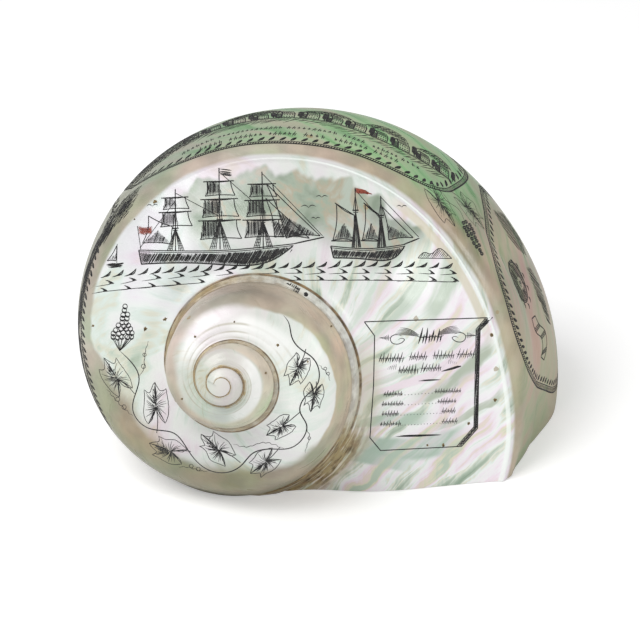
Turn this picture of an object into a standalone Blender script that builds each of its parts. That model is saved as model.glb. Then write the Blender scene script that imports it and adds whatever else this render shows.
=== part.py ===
"""Engraved turban shell, metres, +Z up.

A polished great green turban shell that lies on its mouth with its spire towards -Y. The shell is one piece:
a whorl outline is carried round a tilted axis while it grows by a fixed ratio each turn, the mouth is ground
flat where it rests, and the last turns are hollow.
"""

from math import cos, pi, radians, sin

import bmesh
import bpy
import numpy as np
from mathutils import Vector

# Driving dimensions. A turn of 0 is where the last seam reaches the mouth; earlier turns are negative.
SEAM_RADIUS = 0.0508  # from the axis to the seam at turn 0
GROWTH = 2.5  # size of a whorl over the one before it
APEX_HEIGHT = 0.0641  # tip of the spire above the table
AXIS_LIFT = radians(17.2)  # the spire points up by this much
AXIS_TURN = radians(10.4)  # and to the side of -Y by this much
MOUTH_LEAD = radians(4.3)  # turn 0 is this far short of straight down
TIP_HEIGHT = 0.0006  # of the tip over the first whorl
COLUMELLA_END = 0.172  # from the tip of the spire to the other end of the axis
COLUMELLA_EDGE = (0.35, 0.9)  # it is flat to here and meets the whorl there, over the seam radius
WALL = 0.0068  # thickness of the wall, the same all the way in

# Where along the whorl things happen, in turns.
FIRST_TURN = -3.3  # the small first whorl
LAST_TURN = 0.06  # just past the mouth, under the table, where it is cut away
AGEING = (-1.1, 0.0)  # a young whorl's outline turns into an old one's
DOMED_BASE = (-0.75, -0.33)  # the base goes from a plain dome to a whorl's own round
HOLLOW_DEPTH = -1.1  # how far the hollow runs back into the spire
HOLLOW_END = 0.04  # and it runs out under the table, just short of the last turn
BELLY_END = -0.6  # the whorl behind the mouth lies on the table somewhere before this

BELLY_SINK = 0.0007  # how far the flattened belly goes under the table, to be cut with the rest
BELLY_SOFTNESS = 0.001  # height over which it bends into its flat
BELLY_WALL = 0.6 * WALL  # what is left between the belly and the hollow

STEPS_PER_TURN = 56
SHOULDER_STEPS = 13  # round the outline, from one seam to the next
BASE_STEPS = 14  # and from there over the base to the axis
HOLLOW_STEPS_PER_TURN = 36
HOLLOW_SIDES = 20

# Whorl outlines, seam first, as (distance from the axis, distance below the tip) over the seam radius.
# An old whorl has a flat ramp and a sharp shoulder, a young one is rounder.
OLD_WHORL = [
    (1.0, 1.02), (1.10, 1.19), (1.35, 1.31), (1.75, 1.53), (2.08, 1.70), (2.27, 1.78), (2.365, 1.95),
    (2.42, 2.22), (2.5, 2.55), (2.57, 2.80), (2.59, 3.10), (2.54, 3.45), (2.38, 3.80), (2.08, 4.10),
    (1.65, 4.28), (1.2, 4.33), (0.75, 4.26), (0.35, 4.15), (0.0, 4.1),
]
YOUNG_WHORL = [
    (1.0, 1.02), (1.12, 1.12), (1.38, 1.20), (1.75, 1.38), (2.06, 1.60), (2.26, 1.84), (2.38, 2.08),
    (2.45, 2.30), (2.5, 2.55), (2.505, 2.83), (2.465, 3.15), (2.37, 3.45), (2.2, 3.78), (1.95, 4.04),
    (1.6, 4.22), (1.2, 4.3), (0.75, 4.25), (0.35, 4.15), (0.0, 4.1),
]
SEAM_POINT = 8  # the point of an outline that the next whorl's seam sits on
BELLY_POINT = 9.5  # where it is widest
DOME_START = (9.0, 12.0)  # the points between which the base takes to its dome
HOLLOW = [
    (1.18, 1.36), (1.40, 1.45), (1.78, 1.66), (2.06, 1.82), (2.20, 1.93), (2.28, 2.12), (2.33, 2.35),
    (2.42, 2.70), (2.465, 3.05), (2.42, 3.40), (2.27, 3.70), (2.0, 3.95), (1.62, 4.10), (1.2, 4.12),
    (0.85, 3.98), (0.62, 3.65), (0.53, 3.2), (0.54, 2.7), (0.62, 2.28), (0.77, 1.99), (0.95, 1.84),
    (1.07, 1.64), (1.12, 1.46),
]

SHELL_COLOUR = (0.80, 0.80, 0.74, 1.0)
SHARP_EDGE = radians(40)


def rise(x, low, high):
    """0 below low, 1 above high, and a smooth step between."""
    part = np.clip((x - low) / (high - low), 0.0, 1.0)
    return part * part * (3.0 - 2.0 * part)


def through(points, at):
    """A natural cubic spline through points, read at the point numbers in at, whole or broken."""
    points = np.array(points)
    count = len(points)
    chord = np.hypot(*np.diff(points, axis=0).T)
    rows = np.eye(count)
    right = np.zeros((count, 2))
    for i in range(1, count - 1):
        before, after = chord[i - 1], chord[i]
        rows[i, i - 1 : i + 2] = before, 2 * (before + after), after
        right[i] = 6 * ((points[i + 1] - points[i]) / after - (points[i] - points[i - 1]) / before)
    bend = np.linalg.solve(rows, right)
    k = np.clip(np.floor(at).astype(int), 0, count - 2)
    b = (at - k)[:, None]
    a = 1 - b
    span = (chord[k] ** 2)[:, None] / 6
    return a * points[k] + b * points[k + 1] + ((a**3 - a) * bend[k] + (b**3 - b) * bend[k + 1]) * span


def even_shares(points, first, last, steps):
    """Point numbers from first to last that cut the stretch between them into steps of like length."""
    chord = np.hypot(*np.diff(np.array(points), axis=0).T)
    length = np.concatenate([[0.0], np.cumsum(chord)])
    return np.interp(np.linspace(length[first], length[last], steps + 1), length, np.arange(len(points)))


SHOULDER_SHARES = even_shares(OLD_WHORL, 0, SEAM_POINT, SHOULDER_STEPS)
BASE_SHARES = even_shares(OLD_WHORL, SEAM_POINT, len(OLD_WHORL) - 1, BASE_STEPS)
SHARES = np.concatenate([SHOULDER_SHARES, BASE_SHARES[1:]])
BELLY_COLUMN = int(np.searchsorted(SHARES, BELLY_POINT))


def outline(turn):
    """The whorl's outline at a turn, as (distance from the axis, distance below the tip) in metres."""
    young = through(YOUNG_WHORL, SHARES)
    old = through(OLD_WHORL, SHARES)
    return (young + (old - young) * rise(turn, *AGEING)) * SEAM_RADIUS * GROWTH**turn


def axes():
    """Unit vectors: along the axis to the tip, down from it, and the way the whorl grows at the bottom."""
    axis = np.array([-cos(AXIS_LIFT) * sin(AXIS_TURN), -cos(AXIS_LIFT) * cos(AXIS_TURN), sin(AXIS_LIFT)])
    down = np.array([0.0, 0.0, -1.0])
    down -= axis * down.dot(axis)
    down /= np.linalg.norm(down)
    return axis, down, np.cross(down, axis)


def outward(turn):
    """Unit vector away from the axis at a turn."""
    _, down, ahead = axes()
    angle = 2 * pi * turn - MOUTH_LEAD
    return cos(angle) * down + sin(angle) * ahead


def place(turn, flat):
    """Points of an outline, turned to their place round the axis."""
    tip = np.array([0.0, 0.0, APEX_HEIGHT])
    return tip + flat[:, :1] * outward(turn) - flat[:, 1:] * axes()[0]


def rest_on_table(turn, flat, clearance=0.0):
    """Flattens the belly of the whorl behind the mouth, so that it rests on the table beside the lip."""
    if turn > BELLY_END:
        return
    height = place(turn, flat)[:, 2] - clearance
    lifted = (height + np.hypot(height, BELLY_SOFTNESS)) / 2 - BELLY_SINK
    steepness = max(-outward(turn)[2], 0.3)  # height gained by a step towards the axis, kept off zero
    flat[:, 0] -= np.maximum(lifted - height, 0.0) / steepness


def close_base(turn, flat):
    """Rounds the base off to the blunt end of the columella: beside the mouth, all the way from the belly."""
    belly = flat[BELLY_COLUMN]
    across = np.clip(flat[:, 0] / belly[0], 0.0, 1.0)
    dome = belly[1] + (COLUMELLA_END - belly[1]) * np.sqrt(1.0 - across**2)
    from_axis = flat[:, 0] / (SEAM_RADIUS * GROWTH**turn)
    own_round = rise(turn, *DOMED_BASE) * rise(from_axis, *COLUMELLA_EDGE)
    flat[:, 1] += (dome - flat[:, 1]) * (1.0 - own_round) * rise(SHARES, *DOME_START)


def whorl_rows():
    """Rows of points along the outside, one row a step."""
    count = round((LAST_TURN - FIRST_TURN) * STEPS_PER_TURN)
    rows = []
    for i in range(count + 1):
        turn = LAST_TURN - (count - i) / STEPS_PER_TURN
        flat = outline(turn)
        rest_on_table(turn, flat)
        close_base(turn, flat)
        rows.append(place(turn, flat))
    return rows


def shell_outside():
    """The whole outside as one closed mesh: each whorl starts on the seam points of the whorl before it."""
    rows = whorl_rows()
    last = len(rows) - 1
    first_base = last - STEPS_PER_TURN
    axis_column = SHOULDER_STEPS + BASE_STEPS
    mesh = bmesh.new()
    made = {}

    def point(i, j):
        if j == 0 and i >= STEPS_PER_TURN:
            i, j = i - STEPS_PER_TURN, SHOULDER_STEPS
        if j == axis_column:
            i = first_base
        if (i, j) not in made:
            made[i, j] = mesh.verts.new(rows[i][j])
        return made[i, j]

    for i in range(last):
        columns = axis_column if i >= first_base else SHOULDER_STEPS
        for j in range(columns):
            corners = [point(i, j), point(i, j + 1), point(i + 1, j + 1), point(i + 1, j)]
            mesh.faces.new(list(dict.fromkeys(corners)))
    # The first whorl starts from a small point, and the last ends in a flat face under the table.
    start = [point(i, 0) for i in range(STEPS_PER_TURN)] + [point(0, j) for j in range(SHOULDER_STEPS, 0, -1)]
    tip = mesh.verts.new(np.mean([v.co for v in start], axis=0) + axes()[0] * TIP_HEIGHT)
    for a, b in zip(start, start[1:] + start[:1]):
        mesh.faces.new((a, b, tip))
    end = [point(last, j) for j in range(axis_column + 1)]
    end += [point(first_base, j) for j in range(axis_column - 1, SHOULDER_STEPS, -1)]
    mesh.faces.new(end)
    return mesh


def closed_loop(points, count):
    """A smooth closed curve through points, cut into count points."""
    lap = points + points[:1]
    wide = points[-3:] + lap + points[1:4]
    return through(wide, 3 + even_shares(lap, 0, len(points), count)[:-1])


def shell_hollow():
    """The space inside the last turn, as a closed tube that runs out through the mouth."""
    ring = closed_loop(HOLLOW, HOLLOW_SIDES)
    middle = ring.mean(axis=0)
    count = round((HOLLOW_END - HOLLOW_DEPTH) * HOLLOW_STEPS_PER_TURN)
    mesh = bmesh.new()
    rings = []
    for i in range(count + 1):
        turn = HOLLOW_END - i / HOLLOW_STEPS_PER_TURN
        size = SEAM_RADIUS * GROWTH**turn
        flat = (middle + (ring - middle) * (1 - WALL * (1 / size - 1 / SEAM_RADIUS))) * size
        rest_on_table(turn, flat, BELLY_WALL)
        rings.append([mesh.verts.new(spot) for spot in place(turn, flat)])
    for near, far in zip(rings, rings[1:]):
        for k in range(HOLLOW_SIDES):
            other = (k + 1) % HOLLOW_SIDES
            mesh.faces.new((near[k], near[other], far[other], far[k]))
    mesh.faces.new(rings[0])
    mesh.faces.new(rings[-1])
    return mesh


def add_object(name, mesh, collection):
    """A bmesh as a named object, with its faces pointing out."""
    bmesh.ops.recalc_face_normals(mesh, faces=mesh.faces)
    data = bpy.data.meshes.new(name)
    mesh.to_mesh(data)
    mesh.free()
    made = bpy.data.objects.new(name, data)
    collection.objects.link(made)
    return made


def cut_with(target, cutter):
    """Takes the cutter away from the target."""
    cut = target.modifiers.new("cut " + cutter.name, "BOOLEAN")
    cut.operation = "DIFFERENCE"
    cut.object = cutter
    cutter.hide_render = True
    cutter.display_type = "WIRE"


def shell_material():
    """Polished mother-of-pearl."""
    material = bpy.data.materials.new("mother of pearl")
    material.use_nodes = True
    finish = material.node_tree.nodes["Principled BSDF"]
    finish.inputs["Base Color"].default_value = SHELL_COLOUR
    finish.inputs["Roughness"].default_value = 0.25
    finish.inputs["Metallic"].default_value = 0.0
    return material


def build_shell(parts, cutters):
    """The shell: its outside, less what is under the table and less the hollow."""
    solid = add_object("shell outside", shell_outside(), parts)
    ground = bmesh.new()
    bmesh.ops.create_cube(ground, size=1.0)
    bmesh.ops.translate(ground, verts=ground.verts, vec=(0.0, 0.0, -0.5))
    cut_with(solid, add_object("table", ground, cutters))
    cut_with(solid, add_object("hollow", shell_hollow(), cutters))
    bpy.context.view_layer.update()
    cut = bpy.data.meshes.new_from_object(solid.evaluated_get(bpy.context.evaluated_depsgraph_get()))
    bpy.data.objects.remove(solid)
    # The origin goes to the middle of the underside.
    spots = np.array([v.co for v in cut.vertices])
    middle = Vector((spots.min(axis=0) + spots.max(axis=0)) / 2)
    middle.z = spots[:, 2].min()
    for vertex in cut.vertices:
        vertex.co -= middle
    shell = bpy.data.objects.new("turban_shell", cut)
    cut.name = "turban_shell"
    cut.materials.append(shell_material())
    parts.objects.link(shell)
    cut.shade_smooth()
    cut.set_sharp_from_angle(angle=SHARP_EDGE)


for old in list(bpy.data.objects):
    bpy.data.objects.remove(old)
parts_collection = bpy.data.collections.new("engraved turban shell")
cutters_collection = bpy.data.collections.new("cutters")
bpy.context.scene.collection.children.link(parts_collection)
bpy.context.scene.collection.children.link(cutters_collection)
build_shell(parts_collection, cutters_collection)
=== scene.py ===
"""Engraved turban shell: the finished surface.

A great green turban shell, ground down and polished to its mother-of-pearl, then engraved by hand with fine
lines that are rubbed with black ink. It lies on its mouth, with the spire towards -Y.
"""

from math import cos, pi, radians, sin

import bpy
import numpy as np
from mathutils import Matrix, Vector


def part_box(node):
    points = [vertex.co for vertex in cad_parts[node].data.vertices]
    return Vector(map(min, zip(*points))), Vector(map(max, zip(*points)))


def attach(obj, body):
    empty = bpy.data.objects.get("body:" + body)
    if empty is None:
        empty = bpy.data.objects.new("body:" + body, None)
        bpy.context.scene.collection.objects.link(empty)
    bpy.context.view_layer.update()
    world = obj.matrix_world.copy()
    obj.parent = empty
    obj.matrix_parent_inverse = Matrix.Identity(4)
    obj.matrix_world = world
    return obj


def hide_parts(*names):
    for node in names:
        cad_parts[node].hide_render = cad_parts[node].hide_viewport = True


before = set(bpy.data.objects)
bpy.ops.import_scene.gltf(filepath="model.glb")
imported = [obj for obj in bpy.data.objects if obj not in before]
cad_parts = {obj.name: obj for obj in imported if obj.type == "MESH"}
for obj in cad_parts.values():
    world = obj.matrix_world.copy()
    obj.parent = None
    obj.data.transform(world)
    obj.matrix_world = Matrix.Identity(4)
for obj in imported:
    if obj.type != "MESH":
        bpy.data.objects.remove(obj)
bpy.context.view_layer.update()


# ---------------------------------------------------------------------------------------------------------
# The shell. The animal grew it as one piece: a whorl outline carried round a tilted axis, larger by a fixed
# ratio each turn, hollow inside. The mouth and the belly of the whorl beside it are ground flat to lie on.

SEAM_RADIUS = 0.0508  # from the axis to the seam at the mouth
GROWTH = 2.5  # size of a whorl over the one before it
APEX_HEIGHT = 0.0641  # tip of the spire above the table
AXIS_LIFT = radians(17.2)  # the spire points up by this much
AXIS_TURN = radians(10.4)  # and to the side of -Y by this much
MOUTH_LEAD = radians(4.3)  # turn 0 is this far short of straight down
TIP_HEIGHT = 0.0011
COLUMELLA_END = 0.172
COLUMELLA_EDGE = (0.35, 0.9)
WALL = 0.0068

# In turns: 0 is where the last seam reaches the mouth, and earlier turns are negative.
FIRST_TURN = -3.7
LAST_TURN = 0.06
AGEING = (-1.1, 0.0)
DOMED_BASE = (-0.75, -0.33)
HOLLOW_DEPTH = -1.1
HOLLOW_END = 0.04
BELLY_END = -0.6
BELLY_SINK = 0.0007
BELLY_SOFTNESS = 0.001
BELLY_WALL = 0.6 * WALL

STEPS_PER_TURN = 200
SHOULDER_STEPS = 76
BASE_STEPS = 46
HOLLOW_STEPS_PER_TURN = 120
HOLLOW_SIDES = 64
SHARP_EDGE = radians(50)

# Whorl outlines, seam first, as (distance from the axis, distance below the tip) over the seam radius.
OLD_WHORL = [
    (1.0, 1.02), (1.10, 1.19), (1.35, 1.31), (1.75, 1.53), (2.08, 1.70), (2.27, 1.78), (2.365, 1.95),
    (2.42, 2.22), (2.5, 2.55), (2.57, 2.80), (2.59, 3.10), (2.54, 3.45), (2.38, 3.80), (2.08, 4.10),
    (1.65, 4.28), (1.2, 4.33), (0.75, 4.26), (0.35, 4.15), (0.0, 4.1),
]
YOUNG_WHORL = [
    (1.0, 1.02), (1.12, 1.12), (1.38, 1.20), (1.75, 1.38), (2.06, 1.60), (2.26, 1.84), (2.38, 2.08),
    (2.45, 2.30), (2.5, 2.55), (2.505, 2.83), (2.465, 3.15), (2.37, 3.45), (2.2, 3.78), (1.95, 4.04),
    (1.6, 4.22), (1.2, 4.3), (0.75, 4.25), (0.35, 4.15), (0.0, 4.1),
]
SEAM_POINT = 8
BELLY_POINT = 9.5
DOME_START = (9.0, 12.0)
HOLLOW = [
    (1.18, 1.36), (1.40, 1.45), (1.78, 1.66), (2.06, 1.82), (2.20, 1.93), (2.28, 2.12), (2.33, 2.35),
    (2.42, 2.70), (2.465, 3.05), (2.42, 3.40), (2.27, 3.70), (2.0, 3.95), (1.62, 4.10), (1.2, 4.12),
    (0.85, 3.98), (0.62, 3.65), (0.53, 3.2), (0.54, 2.7), (0.62, 2.28), (0.77, 1.99), (0.95, 1.84),
    (1.07, 1.64), (1.12, 1.46),
]
FINE_SHARES = ((0.45, 0.45), (4.4, 0.4))  # (middle, half width) of the parts of the outline with fine relief
LEDGE_HEIGHT = 0.011  # of the raised ledge along the seam, over the seam radius at its turn
RIB_HEIGHT = 0.0009  # of the rib along the shoulder of the last turn
RIB_SHARE = 4.36
CORD_HEIGHT = 0.016  # of the fine cords round the spire, over the seam radius at their turn

# Where the whorl grew a little wider or narrower than its spiral: (turn, reach in turns, share more).
UNEVEN_GROWTH = ((-0.94, 0.07, -0.022), (-0.60, 0.12, 0.015), (-0.315, 0.055, -0.013), (-0.185, 0.055, 0.013))
# Where its seam lies off the spiral: (turn, share of the radius more).
UNEVEN_SEAM = (
    (-3.4, 0.22), (-2.75, 0.22), (-2.5, 0.02), (-2.25, 0.07), (-1.9, 0.0), (-1.5, -0.07), (-1.25, -0.02),
    (-1.0, -0.08), (-0.5, -0.065), (-0.3, -0.08), (-0.16, -0.075), (-0.06, -0.02), (0.0, 0.0),
)
SPIRE_SHIFT = np.array([-0.0018, 0.0003, 0.0005])  # of the older whorls, off the axis
LIP_FLARE = 0.0065  # the shoulder turns out this far towards the lip
LIP_SWELL = 0.0030  # and the ramp comes forward this far

HOLLOW_MARK = -1.0  # the second coordinate of the whorl map inside the hollow
GROUND_MARK = -2.0  # and on the ground rim


def rise(x, low, high):
    """0 below low, 1 above high, and a smooth step between."""
    part = np.clip((x - low) / (high - low), 0.0, 1.0)
    return part * part * (3.0 - 2.0 * part)


def through(points, at):
    """A natural cubic spline through points, read at the point numbers in at, whole or broken."""
    points = np.array(points)
    count = len(points)
    chord = np.hypot(*np.diff(points, axis=0).T)
    rows = np.eye(count)
    right = np.zeros((count, 2))
    for i in range(1, count - 1):
        before, after = chord[i - 1], chord[i]
        rows[i, i - 1 : i + 2] = before, 2 * (before + after), after
        right[i] = 6 * ((points[i + 1] - points[i]) / after - (points[i] - points[i - 1]) / before)
    bend = np.linalg.solve(rows, right)
    k = np.clip(np.floor(at).astype(int), 0, count - 2)
    b = (at - k)[..., None]
    a = 1 - b
    span = (chord[k] ** 2)[..., None] / 6
    return a * points[k] + b * points[k + 1] + ((a**3 - a) * bend[k] + (b**3 - b) * bend[k + 1]) * span


def even_shares(points, first, last, steps):
    """Point numbers from first to last that cut the stretch between them into steps of like length."""
    chord = np.hypot(*np.diff(np.array(points), axis=0).T)
    length = np.concatenate([[0.0], np.cumsum(chord)])
    return np.interp(np.linspace(length[first], length[last], steps + 1), length, np.arange(len(points)))


AXIS = np.array([-cos(AXIS_LIFT) * sin(AXIS_TURN), -cos(AXIS_LIFT) * cos(AXIS_TURN), sin(AXIS_LIFT)])
DOWN = np.array([0.0, 0.0, -1.0]) + AXIS * AXIS[2]
DOWN /= np.linalg.norm(DOWN)
AHEAD = np.cross(DOWN, AXIS)  # the way the whorl grows at the bottom


def outward(turn):
    """Unit vectors away from the axis at each turn."""
    angle = 2 * pi * np.asarray(turn, float)[..., None] - MOUTH_LEAD
    return np.cos(angle) * DOWN + np.sin(angle) * AHEAD


def place(turn, flat):
    """Points (from the axis, below the tip) of the outline at each turn, in their place with the tip on Z."""
    return np.array([0.0, 0.0, APEX_HEIGHT]) + flat[..., :1] * outward(turn) - flat[..., 1:] * AXIS


def rest_on_table(turn, flat, clearance=0.0):
    """Flattens the belly of the whorl behind the mouth, so that it rests on the table beside the lip."""
    height = place(turn, flat)[..., 2] - clearance
    lifted = (height + np.hypot(height, BELLY_SOFTNESS)) / 2 - BELLY_SINK
    steepness = np.maximum(-outward(turn)[..., 2], 0.3)
    flat[..., 0] -= np.where(turn <= BELLY_END, np.maximum(lifted - height, 0.0) / steepness, 0.0)


def close_base(turn, share, flat):
    """Rounds the base off to the blunt end of the columella: beside the mouth, all the way from the belly."""
    belly = outline(turn[:, :1], np.full((1, 1), BELLY_POINT), closed=False)
    across = np.clip(flat[..., 0] / belly[..., 0], 0.0, 1.0)
    dome = belly[..., 1] + (COLUMELLA_END - belly[..., 1]) * np.sqrt(1.0 - across**2)
    own_round = rise(turn, *DOMED_BASE) * rise(flat[..., 0] / (SEAM_RADIUS * GROWTH**turn), *COLUMELLA_EDGE)
    flat[..., 1] += (dome - flat[..., 1]) * (1.0 - own_round) * rise(share, *DOME_START)


def bump_at(x, middle, width):
    """A smooth bump of height 1."""
    return np.exp(-(((x - middle) / width) ** 2))


def seam_offset(turn):
    """How much further out the seam lies than its spiral, over the seam radius."""
    turns, amounts = zip(*UNEVEN_SEAM)
    return sum(np.interp(turn + shift, turns, amounts) for shift in (-0.08, -0.04, 0.0, 0.04, 0.08)) / 5


def outline(turn, share, closed=True):
    """(from the axis, below the tip) in metres, at turns down the rows and outline shares along them."""
    young = through(YOUNG_WHORL, share)
    old = through(OLD_WHORL, share)
    flat = (young + (old - young) * rise(turn, *AGEING)[..., None]) * (SEAM_RADIUS * GROWTH**turn)[..., None]
    more = sum(amount * bump_at(turn, middle, reach) for middle, reach, amount in UNEVEN_GROWTH)
    near_seams = rise(share, 1.5, 3.5) * (1.0 - rise(share, 6.5, 7.8) * rise(-turn, 0.85, 0.97))
    flat[..., 0] *= 1.0 + more * near_seams
    flat[..., 0] *= 1.0 + seam_offset(turn) * (1.0 - rise(share, 0.9, 2.6))
    flat[..., 0] *= 1.0 + seam_offset(turn + 1.0) * rise(share, 3.4, 6.2) * rise(-turn, 0.90, 0.99)
    flat[..., 0] += LIP_FLARE * rise(turn, -0.25, -0.15) * bump_at(share, 4.4, 0.9)
    flat[..., 1] -= LIP_SWELL * rise(turn, -0.24, -0.13) * bump_at(share, 3.4, 1.3)
    rest_on_table(turn, flat)
    if closed:
        close_base(turn, share, flat)
    return flat


def relief(turn, share):
    """Height of what stands out: the ledge at the seam, the shoulder's rib, and the cords round the spire."""
    size = SEAM_RADIUS * GROWTH**turn
    ledge = LEDGE_HEIGHT * (rise(share, 0.02, 0.12) - rise(share, 0.48, 0.62))
    ledge = ledge - 0.6 * LEDGE_HEIGHT * bump_at(share, 0.68, 0.07)
    pair = bump_at(share, 1.3, 0.16) + 0.8 * bump_at(share, 1.85, 0.16)
    cords = CORD_HEIGHT * rise(-turn, 0.85, 1.15) * pair
    cords += CORD_HEIGHT * rise(-turn, 1.5, 1.9) * (bump_at(share, 3.6, 0.25) - bump_at(share, 2.7, 0.3))
    low = -CORD_HEIGHT * (0.5 + 0.5 * rise(-turn, 0.85, 1.15)) * bump_at(share, 7.2, 0.22)
    rib = RIB_HEIGHT * bump_at(share, RIB_SHARE, 0.10) * rise(turn, -0.60, -0.38)
    groove = -0.45 * RIB_HEIGHT * bump_at(share, RIB_SHARE + 0.42, 0.2) * rise(turn, -0.60, -0.38)
    return size * (ledge + cords + low) + rib + groove


def shoulder_shares():
    """Outline shares from seam to seam, closer together where the relief is fine."""
    fine = np.linspace(0, SEAM_POINT, 801)
    weight = np.hypot(*np.diff(through(OLD_WHORL, fine), axis=0).T)
    for middle, half in FINE_SHARES:
        weight = np.where(np.abs(fine[1:] - middle) < half, weight * 3.0, weight)
    length = np.concatenate([[0.0], np.cumsum(weight)])
    return np.interp(np.linspace(0.0, length[-1], SHOULDER_STEPS + 1), length, fine)


def mesh_object(name, corners, faces, whorl_map):
    """An object from points and faces, with the whorl map (turn, outline share) of each face corner."""
    mesh = bpy.data.meshes.new(name)
    mesh.from_pydata(corners, [], faces)
    layer = mesh.uv_layers.new(name="whorl")
    layer.uv.foreach_set("vector", np.array(whorl_map, np.float32).ravel())
    made = bpy.data.objects.new(name, mesh)
    bpy.context.scene.collection.objects.link(made)
    return made


def shell_outside():
    """The whole outside, closed: each whorl starts on the seam points of the whorl before it."""
    count = round((LAST_TURN - FIRST_TURN) * STEPS_PER_TURN)
    turns = LAST_TURN - np.arange(count, -1, -1) / STEPS_PER_TURN
    shares = np.concatenate([
        shoulder_shares(),
        even_shares(OLD_WHORL, SEAM_POINT, len(OLD_WHORL) - 1, BASE_STEPS)[1:],
    ])
    turn, share = np.meshgrid(turns, shares, indexing="ij")
    spots = place(turn, outline(turn, share))
    spots += (1.0 - rise(turn + share / SEAM_POINT, -1.3, -0.7))[..., None] * SPIRE_SHIFT
    out = np.cross(np.gradient(spots, axis=0), np.gradient(spots, axis=1))
    length = np.maximum(np.linalg.norm(out, axis=2, keepdims=True), 1e-12)
    spots += relief(turn, share)[..., None] * out / length
    first_base = count - STEPS_PER_TURN
    axis_column = SHOULDER_STEPS + BASE_STEPS
    number = {}
    corners = []

    def point(i, j):
        if j == 0 and i >= STEPS_PER_TURN:
            i, j = i - STEPS_PER_TURN, SHOULDER_STEPS
        if j == axis_column:
            i = first_base
        if (i, j) not in number:
            number[i, j] = len(corners)
            corners.append(spots[i, j])
        return number[i, j]

    faces = []
    whorl_map = []

    def add(cells):
        ring = [point(i, j) for i, j in cells]
        keep = [k for k in range(len(ring)) if ring[k] not in ring[:k]]
        faces.append([ring[k] for k in keep])
        whorl_map.extend((turns[cells[k][0]], shares[cells[k][1]]) for k in keep)

    for i in range(count):
        for j in range(axis_column if i >= first_base else SHOULDER_STEPS):
            add([(i, j), (i + 1, j), (i + 1, j + 1), (i, j + 1)])
    # The first whorl starts from a small point, and the last ends in a flat face under the table.
    start = [(i, 0) for i in range(STEPS_PER_TURN)] + [(0, j) for j in range(SHOULDER_STEPS, 0, -1)]
    tip = len(corners)
    corners.append(np.mean([corners[point(*cell)] for cell in start], axis=0) + AXIS * TIP_HEIGHT)
    for a, b in zip(start, start[1:] + start[:1]):
        faces.append([point(*b), point(*a), tip])
        whorl_map.extend([(FIRST_TURN, 2.0)] * 3)
    end = [(first_base, j) for j in range(SHOULDER_STEPS + 1, axis_column)]
    end += [(count, j) for j in range(axis_column, -1, -1)]
    add(end)
    return mesh_object("shell outside", corners, faces, whorl_map)


def shell_hollow():
    """The space inside the last turn, as a closed tube that runs out through the mouth."""
    wide = HOLLOW[-3:] + HOLLOW + HOLLOW[:4]
    ring = through(wide, 3 + even_shares(HOLLOW + HOLLOW[:1], 0, len(HOLLOW), HOLLOW_SIDES)[:-1])
    middle = ring.mean(axis=0)
    count = round((HOLLOW_END - HOLLOW_DEPTH) * HOLLOW_STEPS_PER_TURN)
    turn = (HOLLOW_END - np.arange(count + 1) / HOLLOW_STEPS_PER_TURN)[:, None]
    size = (SEAM_RADIUS * GROWTH**turn)[..., None]
    flat = (middle + (ring - middle) * (1 - WALL * (1 / size - 1 / SEAM_RADIUS))) * size
    rest_on_table(turn, flat, BELLY_WALL)
    spots = place(turn, flat).reshape(-1, 3)
    faces = [list(range(HOLLOW_SIDES))[::-1], [count * HOLLOW_SIDES + k for k in range(HOLLOW_SIDES)]]
    for i in range(count):
        for k in range(HOLLOW_SIDES):
            a, b = i * HOLLOW_SIDES + k, i * HOLLOW_SIDES + (k + 1) % HOLLOW_SIDES
            faces.append([a, b, b + HOLLOW_SIDES, a + HOLLOW_SIDES])
    whorl_map = [(turn[v // HOLLOW_SIDES, 0], HOLLOW_MARK) for face in faces for v in face]
    return mesh_object("hollow", spots, faces, whorl_map)


def cut_with(target, cutter):
    """Takes the cutter away from the target and discards it."""
    cut = target.modifiers.new("cut", "BOOLEAN")
    cut.operation = "DIFFERENCE"
    cut.object = cutter
    bpy.context.view_layer.update()
    left = bpy.data.meshes.new_from_object(target.evaluated_get(bpy.context.evaluated_depsgraph_get()))
    target.modifiers.clear()
    target.data = left
    bpy.data.objects.remove(cutter)


def build_shell():
    """The outside, less what is under the table and less the hollow. Returns it and the tip of the spire."""
    shell = shell_outside()
    bpy.ops.mesh.primitive_cube_add(size=1.0, location=(0.0, 0.0, -0.5))
    table = bpy.context.object
    table.data.uv_layers[0].name = "whorl"
    table.data.uv_layers[0].uv.foreach_set("vector", [0.0, GROUND_MARK] * len(table.data.loops))
    cut_with(shell, table)
    cut_with(shell, shell_hollow())
    spots = np.array([v.co for v in shell.data.vertices])
    low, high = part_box("turban_shell")
    move = (np.array(low) + np.array(high) - spots.min(axis=0) - spots.max(axis=0)) / 2
    move[2] = low.z - spots[:, 2].min()
    for vertex in shell.data.vertices:
        vertex.co += Vector(move)
    shell.name = shell.data.name = "engraved_shell"
    shell.data.shade_smooth()
    shell.data.set_sharp_from_angle(angle=SHARP_EDGE)
    return shell, np.array([move[0], move[1], APEX_HEIGHT + move[2]])


shell, spire_tip = build_shell()
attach(shell, "root")
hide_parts("turban_shell")


# ---------------------------------------------------------------------------------------------------------
# The shell's finish. Polished mother-of-pearl, white with patches and growth streaks of pale green and pink,
# tan along the shoulder where the layer over it was left, greenish outside, and stained brown at the seams.
# Over this is painted light: lighter and darker turns, highlights on the older whorls and on the rib, and
# painted shade in the tan at the lower left and in the grooves beside the spire's cords.

GROWTH_LEAN = 0.024  # turns back that a growth line falls for each share outward
STREAK_SLOPE = radians(40)  # of the streaks near the mouth, as the front is seen
STREAKS_PER_TURN = 60.0
STREAKS_PER_METRE = 150.0
STREAK_START = -17.0  # so that both ways of counting the streaks meet at the panel
GROWTH_LINE_HEIGHT = 0.00016
POLISH_WAVE_HEIGHT = 0.0009
COAT_WEIGHT = 0.12
COAT_ROUGHNESS = 0.22


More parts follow.
